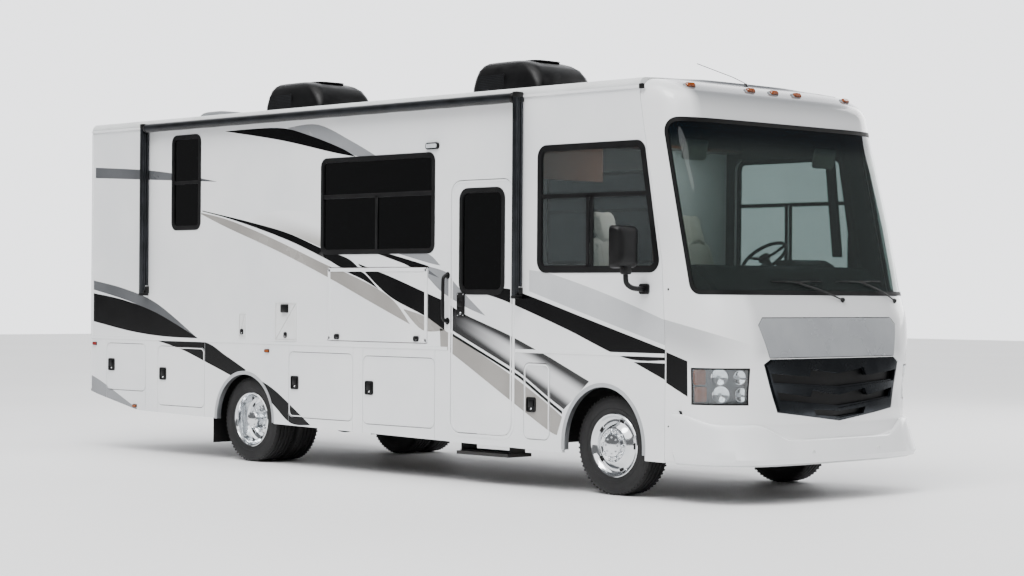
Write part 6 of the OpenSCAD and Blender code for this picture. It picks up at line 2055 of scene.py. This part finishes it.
# the lower lip of the nose: a ledge that drops to the middle, over a skirt that stands out from the cap
def makeBumperSkirt():
    look = {"stand": 0.034, "middle": 0.5, "side": 0.705, "half": 1.47, "steps": 120}
    bm = bmesh.new()
    columns = []
    for k in range(look["steps"] + 1):
        a = -look["half"] + 2 * look["half"] * k / look["steps"]
        y = abs(capAngle(a, 0.5, 0).y)
        rise = softStep(0.60, 0.96, y)
        top = look["middle"] + (0.625 - look["middle"]) * rise + (look["side"] - 0.625) * softStep(0.9, 1.4,
            abs(a))
        stand = look["stand"] * (0.62 + 0.38 * rise)
        column = []
        for z, out in ((0.318, -0.006), (0.304, 0.5 * stand), (0.318, 0.92 * stand), (0.36, stand),
                (0.44, 0.9 * stand), (top - 0.045, 0.78 * stand), (top - 0.012, 0.68 * stand),
                (top - 0.003, 0.5 * stand), (top, 0.2 * stand), (top + 0.002, -0.006)):
            column.append(bm.verts.new(capAngle(a, z, -out)))
        columns.append(column)
    for p, q in zip(columns, columns[1:]):
        for i in range(len(p)):
            j = (i + 1) % len(p)
            bm.faces.new((p[i], p[j], q[j], q[i]))
    bm.faces.new(columns[0][::-1])
    bm.faces.new(columns[-1])
    finishPiece(bm, "bumper_skirt", "coach", gelcoatWhite, angle=40)
    slits = bmesh.new()
    for side in (-1, 1):
        part = bmesh.new()
        turn = facing(capAngle(side * 1.33, 0.70, -0.001), Vector((0.3, side, 0)))
        addPrism(part, [(-0.035, 0.03), (-0.012, 0.028), (0.02, -0.05), (0.008,
            -0.055)] if side < 0 else [(0.035, 0.03), (-0.008, -0.055), (-0.02, -0.05), (0.012, 0.028)], "xy",
            -0.004, 0.004)
        bmesh.ops.transform(part, matrix=turn, verts=part.verts)
        addInto(slits, part)
    finishPiece(slits, "bumper_scoop_slits", "coach", rubberSeal)
    hooks = bmesh.new()
    for y in (-0.42, 0.42):
        spot = capAt(y, 0.40, -0.020)
        addLathe(hooks, [(0.0, 0.0), (0.013, 0.0), (0.016, 0.002), (0.019, 0.004), (0.021, 0.001),
            (0.021, -0.006), (0, -0.006)], spot, (1, 0, 0), 28)
    finishPiece(hooks, "bumper_hole_plugs", "coach", absWhite)
    covers = bmesh.new()
    edge = [(frontX + 0.619, 1.2), (frontX + 0.578, 1.902), (frontX + 0.329, 3.242), (frontX + 0.36, 3.242),
        (frontX + 0.61, 1.902), (frontX + 0.65, 1.2)]
    for side in (-1, 1):
        addPrism(covers, edge, "xz", *sorted((side * 1.19, side * 1.2555)))
    finishPiece(covers, "pillar_covers", "coach", dashVinyl)


def makeRear():
    red, clear, amber, black = bmesh.new(), bmesh.new(), bmesh.new(), bmesh.new()
    x = backX
    for side in (-1, 1):
        y = side * 1.10
        for sketch, z0, z1, out in ((red, 1.23, 1.38, 0.022), (amber, 1.385, 1.45, 0.02),
                (clear, 1.165, 1.225, 0.02)):
            rows = ((0.0, -0.0), (-out * 0.7, 0.0), (-out, 0.012))
            lofted(sketch, [[(x + dx, u, w) for u, w in roundedBox(y - 0.06 + g, y + 0.06 - g, z0 + g, z1 - g,
                0.018)] for dx, g in rows])
        lofted(black, [[(x + dx, u, w) for u, w in roundedBox(y - 0.078, y + 0.078, 1.145, 1.47, 0.03,
            g)] for dx, g in ((0.0, 0.0), (-0.010, 0.0), (-0.014, -0.006))])
    for y in (-1.0, -0.22, 0.0, 0.22, 1.0):
        rows = ((0.0, 0.0), (-0.014, 0.0), (-0.02, 0.008))
        lofted(red, [[(x + dx, u, w) for u, w in roundedBox(y - 0.045 + g, y + 0.045 - g, 3.215 + g,
            3.245 - g, 0.012)] for dx, g in rows])
    finishPiece(red, "tail_lamps_red", "coach", redLens)
    finishPiece(amber, "tail_lamps_amber", "coach", amberLens)
    finishPiece(clear, "reversing_lamps", "coach", clearLens)
    finishPiece(black, "tail_lamp_housings", "coach", absBlack)
    plate, holder = bmesh.new(), bmesh.new()
    addPrism(plate, roundedBox(-0.56, -0.26, 0.93, 1.08, 0.012), "yz", x - 0.012, x - 0.009)
    finishPiece(plate, "blank_plate", "coach", aluminiumSatin)
    addFrame(holder, roundedBox(-0.57, -0.25, 0.92, 1.09, 0.014), roundedBox(-0.552, -0.268, 0.938, 1.072,
        0.01), "yz", x - 0.016, x)
    addPrism(holder, roundedBox(-0.565, -0.255, 0.925, 1.085, 0.012), "yz", x - 0.009, x)
    addBox(holder, (x - 0.035, x), (-0.46, -0.36), (1.10, 1.125), 0.006, 2)
    # rear-view camera hood over the clearance lights
    addBox(holder, (x - 0.055, x), (-0.045, 0.045), (3.10, 3.16), 0.012, 3)
    finishPiece(holder, "plate_holder_and_camera", "coach", absBlack)
    vents, frame = bmesh.new(), bmesh.new()
    addFrame(frame, roundedBox(-0.98, -0.55, 1.72, 2.05, 0.02), roundedBox(-0.95, -0.58, 1.75, 2.02, 0.012),
        "yz", x - 0.012, x)
    finishPiece(frame, "rear_vent_frame", "coach", absWhite)
    addBox(vents, (-0.012, 0.0), (0, 0.37), (0, 0.012), 0.003, 1)
    copies("line", meshFrom(vents, "slat"), "rear_vent_slats", 13, (0, 0, 0.0203), (x, -0.95, 1.756), "coach",
        absWhite)
    flaps = bmesh.new()
    for side in (-1, 1):
        addBox(flaps, (x - 0.004, x + 0.02), sorted((side * (halfW - 0.022), side * (halfW + 0.003))),
            (0.62, 3.29), 0.004, 2)
    addBox(flaps, (x - 0.005, x + 0.01), (-halfW + 0.01, halfW - 0.01), (3.272, 3.30), 0.004, 2)
    addBox(flaps, (x - 0.004, x + 0.01), (-halfW + 0.03, halfW - 0.03), (1.128, 1.15), 0.004, 2)
    finishPiece(flaps, "rear_corner_trims", "coach", gelcoatWhite)
    chain = bmesh.new()
    for side in (-1, 1):
        addTube(chain, [(x - 0.002 + 0.02 * cos(t), side * 0.12,
            0.565 + 0.02 * sin(t)) for t in [2 * pi * k / 24 for k in range(24)]], 0.005, 8, True)
    finishPiece(chain, "safety_chain_loops", "coach", steelUndercoat)


def makeSlideTrims():
    x0, x1, z0, z1 = slideLow.x, slideHigh.x, slideLow.z, slideHigh.z
    out = slideHigh.y
    seal, trim = bmesh.new(), bmesh.new()
    addFrame(seal, roundedBox(x0, x1, z0, z1, 0.012, -0.001), roundedBox(x0, x1, z0, z1, 0.012, -0.022), "xz",
        halfW + 0.001, out - 0.016)
    addFrame(trim, roundedBox(x0, x1, z0, z1, 0.02, -0.002), roundedBox(x0, x1, z0, z1, 0.02, -0.036), "xz",
        out - 0.001, out + 0.004)
    finishPiece(seal, "slide_out_seal", "slide_out", rubberSeal)
    finishPiece(trim, "slide_out_trim", "slide_out", aluminiumSatin)
    topper = bmesh.new()
    addTube(topper, [(x0 + 0.10, out + 0.012, z1 - 0.045), (x1 - 0.10, out + 0.012, z1 - 0.045)], 0.021, 24)
    finishPiece(topper, "slide_topper_roll", "slide_out", awningCanvas)
    caps = bmesh.new()
    for x in (x0 + 0.09, x1 - 0.09):
        addBox(caps, (x - 0.02, x + 0.02), (out - 0.001, out + 0.036), (z1 - 0.075, z1 - 0.018), 0.006, 2)
    for z in (z0 + 0.03,):
        for x in (x0 + 0.25, x1 - 0.25):
            addBox(caps, (x - 0.05, x + 0.05), (out - 0.001, out + 0.006), (z - 0.012, z + 0.012), 0.003, 1)
    finishPiece(caps, "slide_topper_ends", "slide_out", absBlack)


def makeStep():
    low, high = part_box("outside_step")
    rib = bmesh.new()
    addBox(rib, (0, high.x - low.x - 0.04), (-0.004, 0.004), (0, 0.004), 0.0012, 1)
    copies("line", meshFrom(rib, "rib"), "outside_step_ribs", 9, (0, 0.024, 0), (low.x + 0.02, low.y + 0.02,
        low.z + 0.0385), "coach", rubberSeal)


finishes = {gelcoatWhite: ("side_wall_right", "side_wall_left", "rear_wall", "skirt_right", "skirt_left",
    "entry_door", "galley_door", "utility_door", "bay_door_right_1", "bay_door_right_2", "bay_door_right_3",
    "bay_door_right_4", "bay_door_left_1", "bay_door_left_2", "bay_door_left_3", "slide_out_room"),
    fibreglassRoof: ("roof",), carpet: ("floor",), absBlack: ("stepwell", "luggage_bays"),
    rubberSeal: ("wheelhouses",), steelUndercoat: ("chassis_frame", "leaf_springs", "rear_bumper",
    "outside_step", "front_axle"), castIron: ("engine_block", "rear_axle", "knuckle_left", "knuckle_right"),
    aluminisedSteel: ("exhaust_system", "fuel_tank", "radiator"), aluminiumSatin: ("rear_ladder",),
    dashVinyl: ("dashboard",)}


def paintNodes():
    for material, names in finishes.items():
        for name in names:
            nodes[name].data.materials.clear()
            nodes[name].data.materials.append(material)


makeRoof()
makeWipers()
makeBumperSkirt()
makeRear()
makeSlideTrims()
makeStep()
paintNodes()
print("roof, rear and slide-out made")
